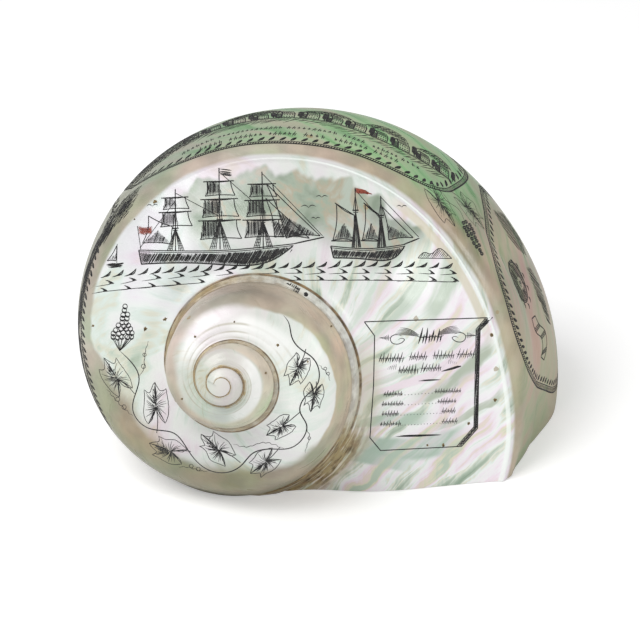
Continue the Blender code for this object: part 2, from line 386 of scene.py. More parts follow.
def node(tree, kind, sockets=None, **settings):
    """A node with its settings, and its inputs either linked from another node's output or set to a value."""
    made = tree.nodes.new(kind)
    for name, value in settings.items():
        setattr(made, name, value)
    for key, value in (sockets or {}).items():
        if isinstance(value, bpy.types.NodeSocket):
            tree.links.new(value, made.inputs[key])
        else:
            made.inputs[key].default_value = value
    return made


def tree_of(values):
    """The node tree of the first socket among the values."""
    return next(value.id_data for value in values if isinstance(value, bpy.types.NodeSocket))


def sums(operation, *terms):
    """A math node's output."""
    return node(tree_of(terms), "ShaderNodeMath", dict(enumerate(terms)), operation=operation).outputs[0]


def product(value, *others):
    """Values multiplied together."""
    for other in others:
        value = sums("MULTIPLY", value, other)
    return value


def vector(*parts):
    """A vector of up to three values."""
    return node(tree_of(parts), "ShaderNodeCombineXYZ", dict(enumerate(parts))).outputs[0]


def between(value, low, high, start=0.0, end=1.0):
    """A smooth step from start, where the value is low, to end, where it is high."""
    sockets = {"Value": value, "From Min": low, "From Max": high, "To Min": start, "To Max": end}
    return node(
        value.id_data, "ShaderNodeMapRange", sockets, interpolation_type="SMOOTHSTEP",
    ).outputs["Result"]


def blend(factor, one, other):
    """A colour between two."""
    return node(factor.id_data, "ShaderNodeMix", {0: factor, 6: one, 7: other}, data_type="RGBA").outputs[2]


def noise(place_on, scale, detail=3.0, roughness=0.5, distortion=0.0):
    """The value of a noise, about 0.3 to 0.7."""
    sockets = {
        "Vector": place_on, "Scale": scale, "Detail": detail, "Roughness": roughness,
        "Distortion": distortion,
    }
    return node(place_on.id_data, "ShaderNodeTexNoise", sockets).outputs["Fac"]


def ramp(value, *stops):
    """Colours along a value."""
    made = node(value.id_data, "ShaderNodeValToRGB", {"Fac": value})
    colours = made.color_ramp.elements
    while len(colours) < len(stops):
        colours.new(0.5)
    for element, (spot, colour) in zip(colours, stops):
        element.position = spot
        element.color = (*colour, 1.0)
    return made.outputs["Color"]


def shader_group(name, inputs, outputs):
    """An empty shader group with named inputs and outputs, each (name, socket kind)."""
    tree = bpy.data.node_groups.new(name, "ShaderNodeTree")
    for label, kind in inputs:
        tree.interface.new_socket(label, in_out="INPUT", socket_type="NodeSocket" + kind)
    for label, kind in outputs:
        tree.interface.new_socket(label, in_out="OUTPUT", socket_type="NodeSocket" + kind)
    return tree, tree.nodes.new("NodeGroupInput").outputs, tree.nodes.new("NodeGroupOutput")


def window(value, low, high, soft):
    """1 from low to high, with soft edges."""
    end = node(value.id_data, "ShaderNodeMath", {0: high, 1: soft}, operation="ADD").outputs[0]
    return product(between(value, low - soft, low), between(value, high, end, 1.0, 0.0))


def pearl_group():
    """Mother-of-pearl: bands of pale green, cream, white and pink, in soft clouds and in streaks that lean
    along the growth lines. Streaky trades clouds for streaks, contrast sets how far the colours go, and
    patches breaks them up with sharper edges, where the polishing wore through a layer."""
    tree, given, out = shader_group(
        "pearl",
        [
            ("Place", "Vector"),
            *((label, "Float") for label in ("Turn", "Share", "Streaky", "Contrast", "Patches")),
        ],
        [("Color", "Color"), ("Streaks", "Float"), ("Clouds", "Float")],
    )
    warp = noise(given["Place"], 38.0, 2.0)
    leaning = sums("MULTIPLY_ADD", given["Share"], GROWTH_LEAN, given["Turn"])
    over_ramp = (sin(STREAK_SLOPE), -0.5 * cos(STREAK_SLOPE), -(0.75**0.5) * cos(STREAK_SLOPE))
    straight_on = node(
        tree, "ShaderNodeVectorMath", {0: given["Place"], 1: over_ramp}, operation="DOT_PRODUCT",
    ).outputs["Value"]
    start = STREAK_START - STREAKS_PER_METRE * float(np.dot(spire_tip, over_ramp))
    straight_on = sums("MULTIPLY_ADD", straight_on, STREAKS_PER_METRE, start)
    curved = product(leaning, STREAKS_PER_TURN)
    near_mouth = between(given["Turn"], -0.29, -0.17)
    along = sums("MULTIPLY_ADD", near_mouth, sums("SUBTRACT", straight_on, curved), curved)
    along = sums("MULTIPLY_ADD", warp, 1.7, along)
    across = sums("MULTIPLY_ADD", warp, 0.9, product(given["Share"], 0.42))
    grown = vector(along, across)
    streaks = noise(grown, 0.95, 4.0, 0.55)
    clouds = noise(given["Place"], 36.0, 3.0, 0.5, 0.7)
    cells = node(
        tree, "ShaderNodeTexVoronoi", {"Vector": grown, "Scale": 2.2, "Randomness": 1.0},
    ).outputs["Color"]
    step = sums("SUBTRACT", node(tree, "ShaderNodeSeparateColor", {0: cells}).outputs[0], 0.5)
    soft = product(sums("SUBTRACT", clouds, 0.5), sums("SUBTRACT", 1.0, given["Streaky"]))
    lined = product(sums("SUBTRACT", streaks, 0.5), given["Streaky"])
    value = product(sums("ADD", soft, lined), given["Contrast"])
    right, _, up = node(tree, "ShaderNodeSeparateXYZ", {0: given["Place"]}).outputs
    scratched = vector(product(right, 700.0), product(up, 70.0))
    scratches = sums("SUBTRACT", noise(scratched, 1.0, 2.0), 0.5)
    value = sums("MULTIPLY_ADD", product(scratches, given["Patches"]), 0.9, value)
    value = sums("ADD", sums("MULTIPLY_ADD", step, given["Patches"], value), 0.53)
    colour = ramp(
        value, (0.36, (0.29, 0.38, 0.29)), (0.42, (0.42, 0.50, 0.40)), (0.455, (0.58, 0.65, 0.56)),
        (0.475, (0.72, 0.71, 0.60)), (0.495, (0.72, 0.79, 0.74)), (0.52, (0.83, 0.84, 0.82)),
        (0.56, (0.83, 0.80, 0.82)), (0.60, (0.81, 0.71, 0.77)), (0.635, (0.75, 0.65, 0.60)),
        (0.67, (0.69, 0.67, 0.51)), (0.72, (0.48, 0.57, 0.46)),
    )
    tree.links.new(colour, out.inputs["Color"])
    tree.links.new(streaks, out.inputs["Streaks"])
    tree.links.new(clouds, out.inputs["Clouds"])
    return tree


def stain_group():
    """Small brown spots, where the polishing left pits, and brown dirt that gathers in patches of a mask."""
    tree, given, out = shader_group(
        "stains", [("Color", "Color"), ("Place", "Vector"), ("Dirt", "Float")], [("Color", "Color")]
    )
    cells = node(tree, "ShaderNodeTexVoronoi", {"Vector": given["Place"], "Scale": 62.0}).outputs
    chosen = node(tree, "ShaderNodeSeparateColor", {0: cells["Color"]}).outputs
    reach = sums("MULTIPLY_ADD", chosen[1], 0.05, 0.03)
    ragged = sums(
        "MULTIPLY_ADD", noise(given["Place"], 900.0, 2.0), 0.06, sums("SUBTRACT", cells["Distance"], 0.03),
    )
    spot = product(sums("LESS_THAN", ragged, reach), sums("GREATER_THAN", chosen[0], 0.62), 0.6)
    colour = blend(spot, given["Color"], (0.30, 0.20, 0.08, 1.0))
    patchy = between(noise(given["Place"], 170.0, 4.0, 0.6), 0.34, 0.54)
    dirt = product(given["Dirt"], patchy)
    brown = ramp(
        noise(given["Place"], 420.0, 3.0), (0.35, (0.075, 0.045, 0.018)), (0.65, (0.27, 0.18, 0.085)),
    )
    tree.links.new(blend(dirt, colour, brown), out.inputs["Color"])
    return tree


def along_turn(turn, *stops):
    """Colours, or single values from 0 to 1, at turns."""
    first, last = stops[0][0], stops[-1][0]
    sockets = {"Value": turn, "From Min": first, "From Max": last}
    spread = node(turn.id_data, "ShaderNodeMapRange", sockets).outputs["Result"]
    whole = [(at, value if isinstance(value, tuple) else (value,) * 3) for at, value in stops]
    return ramp(spread, *(((at - first) / (last - first), colour) for at, colour in whole))


def tinted(colour, by):
    """A colour times another, or times a value."""
    return node(colour.id_data, "ShaderNodeVectorMath", {0: colour, 1: by}, operation="MULTIPLY").outputs[0]


def shell_finish():
    """The material of the whole shell, by turn and outline share: the pearl, then each layer laid over it."""
    material = bpy.data.materials.new("mother of pearl")
    material.use_nodes = True
    tree = material.node_tree
    finish = tree.nodes["Principled BSDF"]
    place_on = node(tree, "ShaderNodeTexCoord").outputs["Object"]
    whorl = node(tree, "ShaderNodeUVMap", uv_map="whorl").outputs[0]
    turn, share, _ = node(tree, "ShaderNodeSeparateXYZ", {0: whorl}).outputs
    along_seam = vector(turn)
    wander = sums("SUBTRACT", noise(place_on, 55.0, 3.0), 0.5)
    spire = between(turn, -1.30, -1.05, 1.0, 0.0)

    # The pearl: cloudy at the left, streaked past the spire, and strongest and patchy near the mouth.
    near_mouth = between(turn, -0.25, -0.11)
    pearl = node(tree, "ShaderNodeGroup", {
        "Place": place_on, "Turn": turn, "Share": share,
        "Streaky": sums("MAXIMUM", between(turn, -0.46, -0.33, 0.25, 0.8), product(spire, 0.3)),
        "Contrast": product(
            between(turn, -1.2, -1.02, 0.55, 1.0),
            sums("MULTIPLY_ADD", near_mouth, 0.8, between(turn, -0.44, -0.30, 0.6, 0.8)),
        ),
        "Patches": product(near_mouth, 0.10),
    }, node_tree=pearl_group())
    pearly, streaks, clouds = pearl.outputs
    # Painted light and shade by turn, over the pearl's own tone: brighter where a turn faces the light.
    shade = along_turn(
        turn, (-3.3, (0.82, 0.80, 0.76)), (-2.8, (0.78, 0.76, 0.70)), (-2.5, (0.67, 0.66, 0.61)),
        (-2.2, (0.86, 0.84, 0.78)), (-2.0, (0.62, 0.70, 0.62)), (-1.8, (0.72, 0.73, 0.66)),
        (-1.6, (0.86, 0.82, 0.83)), (-1.42, (0.78, 0.76, 0.74)), (-1.28, (1.04, 1.03, 1.01)),
        (-1.12, (1.06, 1.07, 1.05)), (-1.02, (0.86, 0.88, 0.86)), (-0.9, (0.80, 0.81, 0.79)),
        (-0.75, (0.88, 0.90, 0.87)), (-0.66, (0.88, 0.90, 0.90)), (-0.6, (0.72, 0.73, 0.75)),
        (-0.46, (0.76, 0.77, 0.75)), (-0.36, (0.90, 0.91, 0.90)), (-0.27, (1.06, 1.06, 1.07)),
        (-0.17, (1.03, 1.03, 1.04)), (0.0, (1.0, 1.0, 1.0)),
    )
    colour = pearly = tinted(pearly, shade)

    # Painted highlights: near-white arcs on the older whorls, where their gloss would catch the light.
    painted_highlight = product(window(turn, -2.36, -2.05, 0.10), window(share, 2.4, 3.4, 0.6))
    wide_painted_highlight = product(window(turn, -1.64, -1.34, 0.10), window(share, 1.5, 2.3, 0.7))
    painted_highlight = product(sums("MAXIMUM", painted_highlight, wide_painted_highlight), between(clouds, 0.42, 0.60, 0.75, 0.2))
    colour = blend(painted_highlight, colour, (0.92, 0.92, 0.90, 1.0))

    # The boldest streaks: (place along the growth lines, half width in turns, first and last share, colour).
    growth_line = sums("MULTIPLY_ADD", share, GROWTH_LEAN, sums("MULTIPLY_ADD", wander, 0.012, turn))
    for at, half, first, last, streak_colour in (
        (-0.153, 0.0045, 2.5, 3.9, (0.44, 0.50, 0.40, 1.0)),
        (-0.120, 0.002, 2.9, 3.9, (0.46, 0.52, 0.42, 1.0)),
        (-0.104, 0.008, 1.5, 3.0, (0.40, 0.52, 0.43, 1.0)),
        (-0.088, 0.006, 1.2, 2.2, (0.42, 0.54, 0.45, 1.0)),
        (-0.274, 0.005, 1.0, 3.1, (0.60, 0.68, 0.60, 1.0)),
        (-0.240, 0.004, 1.1, 3.5, (0.56, 0.64, 0.55, 1.0)),
        (-0.216, 0.007, 3.0, 3.9, (0.50, 0.58, 0.48, 1.0)),
        (-0.183, 0.003, 1.2, 2.1, (0.56, 0.64, 0.55, 1.0)),
        (-0.134, 0.004, 1.2, 2.2, (0.44, 0.56, 0.46, 1.0)),
        (-0.170, 0.003, 1.6, 3.4, (0.84, 0.74, 0.80, 1.0)),
    ):
        bold = product(
            window(growth_line, at - half, at + half, 0.8 * half), window(share, first, last, 0.45),
        )
        colour = blend(product(bold, between(streaks, 0.62, 0.46, 0.35, 0.95)), colour, streak_colour)

    # Behind the ships it is a cloudy grey-green.
    scallops = noise(along_seam, 42.0, 2.0)
    rim = sums("MULTIPLY_ADD", scallops, -1.7, sums("ADD", share, 0.85))
    behind = product(
        window(turn, -0.545, -0.352, 0.022), between(rim, 3.76, 3.98, 1.0, 0.0), between(share, 2.0, 2.7),
        between(sums("ADD", clouds, product(wander, 0.4)), 0.64, 0.54, 0.80, 1.0),
    )
    cloudy = ramp(
        noise(place_on, 72.0, 4.0, 0.5, 0.6), (0.36, (0.20, 0.26, 0.19)), (0.46, (0.27, 0.32, 0.25)),
        (0.52, (0.32, 0.38, 0.30)), (0.57, (0.40, 0.36, 0.27)), (0.63, (0.42, 0.47, 0.40)),
    )
    colour = blend(behind, colour, cloudy)

    # Tan where the layer over the pearl was left: along the shoulder, at the lower left, and further back.
    # Partly painted shade: it widens and darkens at the lower left, where the whorl turns down from the
    # light.
    edge = along_turn(
        turn, (-2.8, 0.75), (-2.6, 0.60), (-2.4, 0.40), (-2.2, 0.37), (-1.8, 0.28), (-1.5, 0.325),
        (-1.32, 0.38), (-1.2, 0.425), (-1.1, 0.40), (-1.03, 0.33), (-0.98, 0.30), (-0.87, 0.27),
        (-0.80, 0.29), (-0.75, 0.32), (-0.725, 0.405), (-0.69, 0.42), (-0.66, 0.435), (-0.6, 0.44),
        (-0.55, 0.455), (-0.3, 0.46), (0.0, 0.46),
    )
    edge = sums("MULTIPLY_ADD", edge, 10.0, product(wander, between(turn, -0.72, -0.62, 1.4, 0.3)))
    softness = between(turn, -0.82, -0.7, 0.42, 0.12)
    softness = sums("MULTIPLY_ADD", window(turn, -1.42, -1.15, 0.06), -0.3, softness)
    tan_and_shade = between(sums("SUBTRACT", share, edge), product(softness, -1.0), softness)
    # The tan's tone by turn is partly painted shade: darkest at the lower left, lighter on the spire's lit
    # sides.
    tan_and_shade_colour = along_turn(
        turn, (-2.6, (0.40, 0.40, 0.36)), (-2.18, (0.68, 0.66, 0.53)), (-1.78, (0.38, 0.37, 0.29)),
        (-1.62, (0.54, 0.50, 0.46)), (-1.48, (0.25, 0.235, 0.18)), (-1.385, (0.42, 0.38, 0.30)),
        (-1.283, (0.58, 0.48, 0.35)), (-1.233, (0.53, 0.45, 0.31)), (-1.12, (0.42, 0.39, 0.29)),
        (-1.063, (0.34, 0.29, 0.22)), (-0.98, (0.27, 0.22, 0.125)), (-0.907, (0.23, 0.22, 0.135)),
        (-0.848, (0.30, 0.26, 0.15)), (-0.767, (0.35, 0.32, 0.24)), (-0.727, (0.42, 0.40, 0.34)),
        (-0.69, (0.35, 0.32, 0.27)), (-0.632, (0.33, 0.29, 0.23)), (-0.495, (0.40, 0.37, 0.31)),
        (-0.399, (0.40, 0.34, 0.25)), (-0.322, (0.31, 0.27, 0.18)), (-0.25, (0.40, 0.36, 0.25)),
        (0.0, (0.46, 0.41, 0.30)),
    )
    mottled = between(noise(place_on, 80.0, 4.0), 0.35, 0.65, 0.82, 1.15)
    tan_and_shade_colour = tinted(tan_and_shade_colour, mottled)
    tints = ramp(
        noise(place_on, 46.0, 2.0), (0.38, (0.86, 1.0, 0.82)), (0.5, (1.02, 1.0, 0.94)),
        (0.62, (1.09, 0.96, 0.93)),
    )
    tan_and_shade_colour = tinted(tan_and_shade_colour, tints)
    colour = blend(product(tan_and_shade, 0.92), colour, tan_and_shade_colour)

    # The outer wall: green over the top, pink and tan towards the mouth, grey at the left.
    wall_colour = along_turn(
        turn, (-0.98, (0.30, 0.28, 0.20)), (-0.75, (0.34, 0.32, 0.25)), (-0.60, (0.33, 0.34, 0.27)),
        (-0.55, (0.33, 0.38, 0.30)), (-0.47, (0.34, 0.43, 0.30)), (-0.41, (0.35, 0.50, 0.30)),
        (-0.36, (0.29, 0.47, 0.27)), (-0.342, (0.33, 0.42, 0.28)), (-0.325, (0.40, 0.35, 0.28)),
        (-0.305, (0.50, 0.43, 0.33)), (-0.285, (0.39, 0.32, 0.26)), (-0.24, (0.44, 0.37, 0.27)),
        (-0.18, (0.36, 0.36, 0.25)), (0.0, (0.38, 0.37, 0.28)),
    )
    wall_streaks = ramp(
        streaks, (0.36, (0.50, 0.78, 0.50)), (0.45, (0.84, 1.0, 0.80)), (0.52, (1.04, 1.02, 0.94)),
        (0.60, (1.15, 0.92, 0.95)),
    )
    wall_streaks = blend(between(turn, -0.62, -0.50), (1.0, 1.0, 1.0, 1.0), wall_streaks)
    outer = product(between(share, 5.0, 5.9), between(turn, -1.05, -0.95))
    colour = blend(outer, colour, tinted(wall_colour, wall_streaks))
    colour = blend(product(between(share, 10.5, 13.5), 0.6), colour, pearly)

    # A painted highlight runs along the rib on the shoulder: a white line with a faint green tint in it.
    beige = product(window(turn, -0.36, -0.275, 0.03), window(share, 3.98, 4.2, 0.08))
    colour = blend(product(beige, 0.75), colour, (0.62, 0.57, 0.43, 1.0))
    rib_highlight_start = between(turn, -0.28, -0.21, 4.34, 4.25)
    rib = product(
        between(share, sums("SUBTRACT", rib_highlight_start, 0.045), rib_highlight_start), between(share, 4.37, 4.415, 1.0, 0.0),
        between(turn, -0.54, -0.36), between(turn, -0.28, -0.21, 0.9, 0.75),
    )
    colour = blend(rib, colour, (0.86, 0.91, 0.87, 1.0))
    lip = product(window(share, 3.85, 4.2, 0.12), between(turn, -0.165, -0.13))
    colour = blend(product(lip, 0.8), colour, (0.52, 0.47, 0.33, 1.0))

    # The ledge along the seam, the brown dirt on both sides of it, and the large stain under the spire.
    ledge = between(share, 0.50, 0.64, 1.0, 0.0)
    ledge_colour = along_turn(
        turn, (-3.6, (0.66, 0.52, 0.32)), (-2.5, (0.50, 0.40, 0.20)), (-2.0, (0.62, 0.55, 0.36)),
        (-1.75, (0.58, 0.48, 0.28)), (-1.5, (0.66, 0.62, 0.50)), (-1.25, (0.76, 0.77, 0.70)),
        (-1.0, (0.72, 0.70, 0.57)), (-0.75, (0.42, 0.34, 0.22)), (-0.55, (0.48, 0.40, 0.27)),
        (-0.46, (0.72, 0.73, 0.67)), (-0.25, (0.80, 0.81, 0.76)), (-0.12, (0.62, 0.58, 0.44)),
        (0.0, (0.60, 0.55, 0.40)),
    )
    ledge_colour = tinted(ledge_colour, between(noise(place_on, 260.0, 3.0), 0.35, 0.62, 0.72, 1.08))
    colour = blend(product(ledge, 0.9), colour, ledge_colour)
    ticks = noise(vector(turn, share), 55.0, 3.0, 0.65)
    ticks = product(ledge, between(ticks, 0.52, 0.60), between(turn, -0.55, -0.35, 0.8, 0.25))
    colour = blend(ticks, colour, (0.34, 0.22, 0.08, 1.0))
    dots = between(noise(along_seam, 34.0, 2.0, 0.6), 0.42, 0.58, 0.35, 1.0)
    inner_line = product(
        between(share, 0.05, between(turn, -2.1, -1.8, 0.75, 0.18), 1.0, 0.0), dots,
        along_turn(turn, (-3.6, 1.0), (-2.05, 1.0), (-1.9, 0.5), (-1.0, 0.5), (-0.4, 0.35), (0.0, 0.35)),
    )
    outer_line = window(share, 0.62, 0.75, 0.07)
    # Painted shade: thin brownish lines in the grooves beside the spire's cords.
    for line_share in (1.08, 1.58, 2.15):
        groove_shade = product(window(share, line_share, line_share + 0.02, 0.1), between(turn, -1.2, -1.45))
        colour = blend(product(groove_shade, between(wander, -0.06, 0.08, 0.1, 0.6)), colour, (0.40, 0.37, 0.27, 1.0))
    above_seam = product(
        between(share, 7.78, 7.97), sums("LESS_THAN", share, 8.01), between(turn, -3.0, -2.9, 0.9, 0.35),
        sums("LESS_THAN", turn, -0.95),
    )
    dirty = between(noise(along_seam, 9.0, 3.0, 0.6), 0.36, 0.52, 0.5, 1.0)
    lines = sums("MAXIMUM", sums("MAXIMUM", inner_line, above_seam), product(outer_line, dirty))
    lines = product(lines, sums("GREATER_THAN", share, -0.5))
    ochre = product(
        window(share, 0.2, between(turn, -2.1, -1.8, 1.1, 0.7), 0.25), between(turn, -2.0, -1.8, 0.85, 0.5),
        between(noise(along_seam, 13.0, 2.0), 0.45, 0.58, 0.25, 1.0), between(turn, -0.5, -0.4, 1.0, 0.0),
    )
    colour = blend(ochre, colour, (0.42, 0.31, 0.13, 1.0))
    line_colour = ramp(
        noise(along_seam, 21.0, 3.0), (0.40, (0.045, 0.032, 0.018)), (0.60, (0.22, 0.125, 0.045)),
    )
    colour = blend(product(lines, between(turn, -1.9, -1.5, 1.0, 0.85)), colour, line_colour)
    spiral = vector(product(turn, 16.0), product(share, 4.5))
    beside = product(window(turn, -0.24, -0.06, 0.05), window(share, 0.6, 1.25, 0.45))
    colour = blend(product(beside, 0.55), colour, (0.56, 0.53, 0.38, 1.0))
    stain = product(window(turn, -0.13, -0.03, 0.045), window(share, 0.0, 1.05, 0.6))
    stain = product(stain, between(noise(spiral, 1.5, 4.0, 0.6), 0.36, 0.50))
    colour = blend(product(stain, 0.85), colour, (0.33, 0.24, 0.085, 1.0))
    stain = product(stain, between(noise(spiral, 2.6, 3.0, 0.6), 0.40, 0.52))
    dirt = sums("MAXIMUM", lines, stain)
    dirt = sums("MAXIMUM", dirt, product(ledge, between(turn, -0.5, -0.4, 0.45, 0.15)))
    sockets = {"Color": colour, "Place": place_on, "Dirt": dirt}
    colour = node(tree, "ShaderNodeGroup", sockets, node_tree=stain_group()).outputs[0]

    # Inside the hollow it is plain mother-of-pearl, and the ground rim shows the layers of the wall.
    inside = sums("LESS_THAN", share, -0.5)
    inner_colour = ramp(
        noise(place_on, 38.0, 3.0, 0.5, 0.5), (0.36, (0.52, 0.58, 0.52)), (0.5, (0.72, 0.70, 0.68)),
        (0.64, (0.70, 0.60, 0.62)),
    )
    colour = blend(inside, colour, inner_colour)
    layers = ramp(noise(place_on, 260.0, 2.0), (0.4, (0.50, 0.46, 0.36)), (0.6, (0.66, 0.64, 0.58)))
    colour = blend(sums("LESS_THAN", share, -1.5), colour, layers)

    # Growth lines across the whorl, and the slight waviness that hand polishing leaves.
    lines_at = vector(product(sums("MULTIPLY_ADD", share, GROWTH_LEAN, turn), 170.0), product(share, 0.3))
    growth = noise(lines_at, 1.3, 4.0, 0.6)
    waves = noise(place_on, 85.0, 2.0)
    height = sums("MULTIPLY_ADD", growth, GROWTH_LINE_HEIGHT, product(waves, POLISH_WAVE_HEIGHT))
    bumps = node(tree, "ShaderNodeBump", {"Height": height, "Strength": 0.5, "Distance": 1.0})
    tree.links.new(bumps.outputs[0], finish.inputs["Normal"])
    tree.links.new(colour, finish.inputs["Base Color"])
    tree.links.new(between(streaks, 0.3, 0.7, 0.26, 0.44), finish.inputs["Roughness"])
    finish.inputs["Coat Weight"].default_value = COAT_WEIGHT
    finish.inputs["Coat Roughness"].default_value = COAT_ROUGHNESS
    return material


shell.data.materials.clear()
shell.data.materials.append(shell_finish())


# ---------------------------------------------------------------------------------------------------------
# The vine, engraved over the ramp and round the spire. As all the engraving, it is fine grooves cut into the
# polished shell by hand and filled with black ink: a stem, its tendrils, ivy leaves, and a bunch of grapes.

LINE = 0.28  # usual width of an engraved line, in millimetres like all the drawings
LONGEST_STEP = 1.2
LEAST_WIDTH = 0.06
GROOVE_DEPTH = 0.3  # of a line's half width
INK_PROUD = 0.00003

SHEET_RIGHT = np.array([1.0, 0.0, 0.0])
SHEET_UP = np.array([0.0, 0.5, 0.75**0.5])
SHEET_FRONT = np.array([0.0, -(0.75**0.5), 0.5])
SHEET_STAND = 0.3  # a drawing is held this far before the spire, and pressed straight back onto the shell


def add_input(tree, label, kind, value=None):
    """A new input of a node tree, set to a value."""
    socket = tree.interface.new_socket(label, in_out="INPUT", socket_type="NodeSocket" + kind)
    if value is not None:
        socket.default_value = value


def geometry_tree(name, inputs):
    """A geometry tree with named inputs (label, socket kind, value), and its input and output nodes."""
    tree = bpy.data.node_groups.new(name, "GeometryNodeTree")
    add_input(tree, "Geometry", "Geometry")
    for label, kind, value in inputs:
        add_input(tree, label, kind, value)
    tree.interface.new_socket("Geometry", in_out="OUTPUT", socket_type="NodeSocketGeometry")
    return tree, tree.nodes.new("NodeGroupInput").outputs, tree.nodes.new("NodeGroupOutput").inputs


def named(tree, label, kind):
    """A named attribute of the drawing."""
    return node(tree, "GeometryNodeInputNamedAttribute", {"Name": label}, data_type=kind).outputs["Attribute"]


def groove_tree():
    """Lines on a drawing, pressed along their aim onto the shell and swept with an inked groove's section."""
    tree, given, out = geometry_tree("inked grooves", [
        ("Shell", "Object", None), ("Depth", "Float", GROOVE_DEPTH), ("Proud", "Float", INK_PROUD),
        ("Ink", "Material", None),
    ])
    surface = node(tree, "GeometryNodeObjectInfo", {"Object": given["Shell"]}).outputs["Geometry"]
    lines = node(tree, "GeometryNodeMeshToCurve", {"Mesh": given["Geometry"]}).outputs["Curve"]
    aim = {"Target Geometry": surface, "Ray Direction": named(tree, "aim", "FLOAT_VECTOR"), "Ray Length": 1.0}
    hit = node(tree, "GeometryNodeRaycast", aim).outputs
    kept = node(tree, "GeometryNodeStoreNamedAttribute", {
        "Geometry": lines, "Name": "facing", "Value": hit["Hit Normal"]
    }, data_type="FLOAT_VECTOR", domain="POINT")
    missed = node(tree, "FunctionNodeBooleanMath", {0: hit["Is Hit"]}, operation="NOT").outputs[0]
    facing = named(tree, "facing", "FLOAT_VECTOR")
    rise_by = node(
        tree, "ShaderNodeVectorMath", {0: facing, "Scale": given["Proud"]}, operation="SCALE",
    ).outputs[0]
    pressed = node(tree, "GeometryNodeSetPosition", {
        "Geometry": kept.outputs[0], "Position": hit["Hit Position"], "Offset": rise_by
    }).outputs[0]
    pressed = node(tree, "GeometryNodeDeleteGeometry", {"Geometry": pressed, "Selection": missed}).outputs[0]
    upright = tree.nodes.new("GeometryNodeSetCurveNormal")
    upright.mode = "FREE"
    tree.links.new(pressed, upright.inputs["Curve"])
    tree.links.new(facing, upright.inputs["Normal"])
    # A triangle with its flat side out and its edge down in the shell.
    section = node(tree, "GeometryNodeCurvePrimitiveCircle", {"Resolution": 3, "Radius": 1.0}).outputs[0]
    scale = vector(given["Depth"], 2 / 3**0.5, 1.0)
    down = vector(product(given["Depth"], -0.5))
    section = node(tree, "GeometryNodeTransform", {
        "Geometry": section, "Rotation": (0.0, 0.0, pi), "Scale": scale, "Translation": down
    }).outputs[0]
    inked = node(tree, "GeometryNodeCurveToMesh", {
        "Curve": upright.outputs[0], "Profile Curve": section, "Fill Caps": True,
        "Scale": product(named(tree, "width", "FLOAT"), 0.5),
    }).outputs[0]
    inked = node(tree, "GeometryNodeRealizeInstances", {"Geometry": inked}).outputs[0]
    inked = node(tree, "GeometryNodeSetMaterial", {"Geometry": inked, "Material": given["Ink"]}).outputs[0]
    tree.links.new(inked, out[0])
    return tree


def ink(name, dark, light):
    """Old ink: nearly flat, a little uneven in depth, and rubbed paler in places."""
    material = bpy.data.materials.new(name)
    material.use_nodes = True
    tree = material.node_tree
    place_on = node(tree, "ShaderNodeTexCoord").outputs["Object"]
    worn = noise(place_on, 700.0, 3.0, 0.6)
    colour = ramp(worn, (0.40, dark), (0.72, light))
    finish = tree.nodes["Principled BSDF"]
    tree.links.new(colour, finish.inputs["Base Color"])
    tree.links.new(between(worn, 0.35, 0.7, 0.65, 0.45), finish.inputs["Roughness"])
    return material


def smooth(points, step=LONGEST_STEP):
    """A smooth line through points."""
    length = np.hypot(*np.diff(np.array(points, float), axis=0).T).sum()
    return through(points, even_shares(points, 0, len(points) - 1, max(2, round(length / step))))


def straight(points, step=LONGEST_STEP):
    """A line with corners, broken into short steps."""
    points = np.array(points, float)
    parts = []
    for a, b in zip(points[:-1], points[1:]):
        parts.append(a + (b - a) * np.arange(0, 1, min(1.0, step / max(np.hypot(*(b - a)), 1e-6)))[:, None])
    return np.concatenate([*parts, points[-1:]])


def pen(points, width=LINE, taper=0.0):
    """A stroke (points, widths): it thins towards both ends by the share taper of its length."""
    along = np.linspace(0.0, 1.0, len(points))
    ends = np.minimum(along, 1.0 - along) / taper if taper else np.ones(len(points))
    return points, np.maximum(width * np.sqrt(np.clip(ends, 0.0, 1.0)), LEAST_WIDTH)


def curve(points, width=LINE, taper=0.0, step=LONGEST_STEP):
    """A smooth stroke through points."""
    return pen(smooth(points, step), width, taper)


def ruled(points, width=LINE, taper=0.0, step=LONGEST_STEP):
    """A stroke with corners at points."""
    return pen(straight(points, step), width, taper)


def widened(strokes, size, by):
    """Strokes drawn larger, with their widths times a number."""
    return [(line * size, width * by) for line, width in strokes]


def round_line(wide, high, steps):
    """A closed line round an oval, half so wide and high."""
    angle = np.linspace(0, 2 * pi, steps + 1)
    return np.stack([wide * np.cos(angle), high * np.sin(angle)], 1)


def on_sheet(points):
    """Places and aims of a flat drawing's points (right, up), measured from the tip of the spire."""
    spots = spire_tip + points[:, :1] / 1000 * SHEET_RIGHT + points[:, 1:] / 1000 * SHEET_UP
    return spots + SHEET_STAND * SHEET_FRONT, np.broadcast_to(-SHEET_FRONT, spots.shape)


def drawing(name, strokes, spread=on_sheet):
    """A mesh of the strokes' edges, with the aim and width of every point."""
    spots, edges, aims, widths = [], [], [], []
    count = 0
    for points, width in strokes:
        at, aim = spread(np.asarray(points, float))
        spots.append(at)
        aims.append(aim)
        widths.append(width)
        edges += [(count + k, count + k + 1) for k in range(len(points) - 1)]
        count += len(points)
    mesh = bpy.data.meshes.new(name)
    mesh.from_pydata(np.concatenate(spots), edges, [])
    mesh.attributes.new("aim", "FLOAT_VECTOR", "POINT").data.foreach_set(
        "vector", np.concatenate(aims).ravel(),
    )
    mesh.attributes.new("width", "FLOAT", "POINT").data.foreach_set("value", np.concatenate(widths) / 1000)
    made = bpy.data.objects.new(name, mesh)
    bpy.context.scene.collection.objects.link(made)
    return made


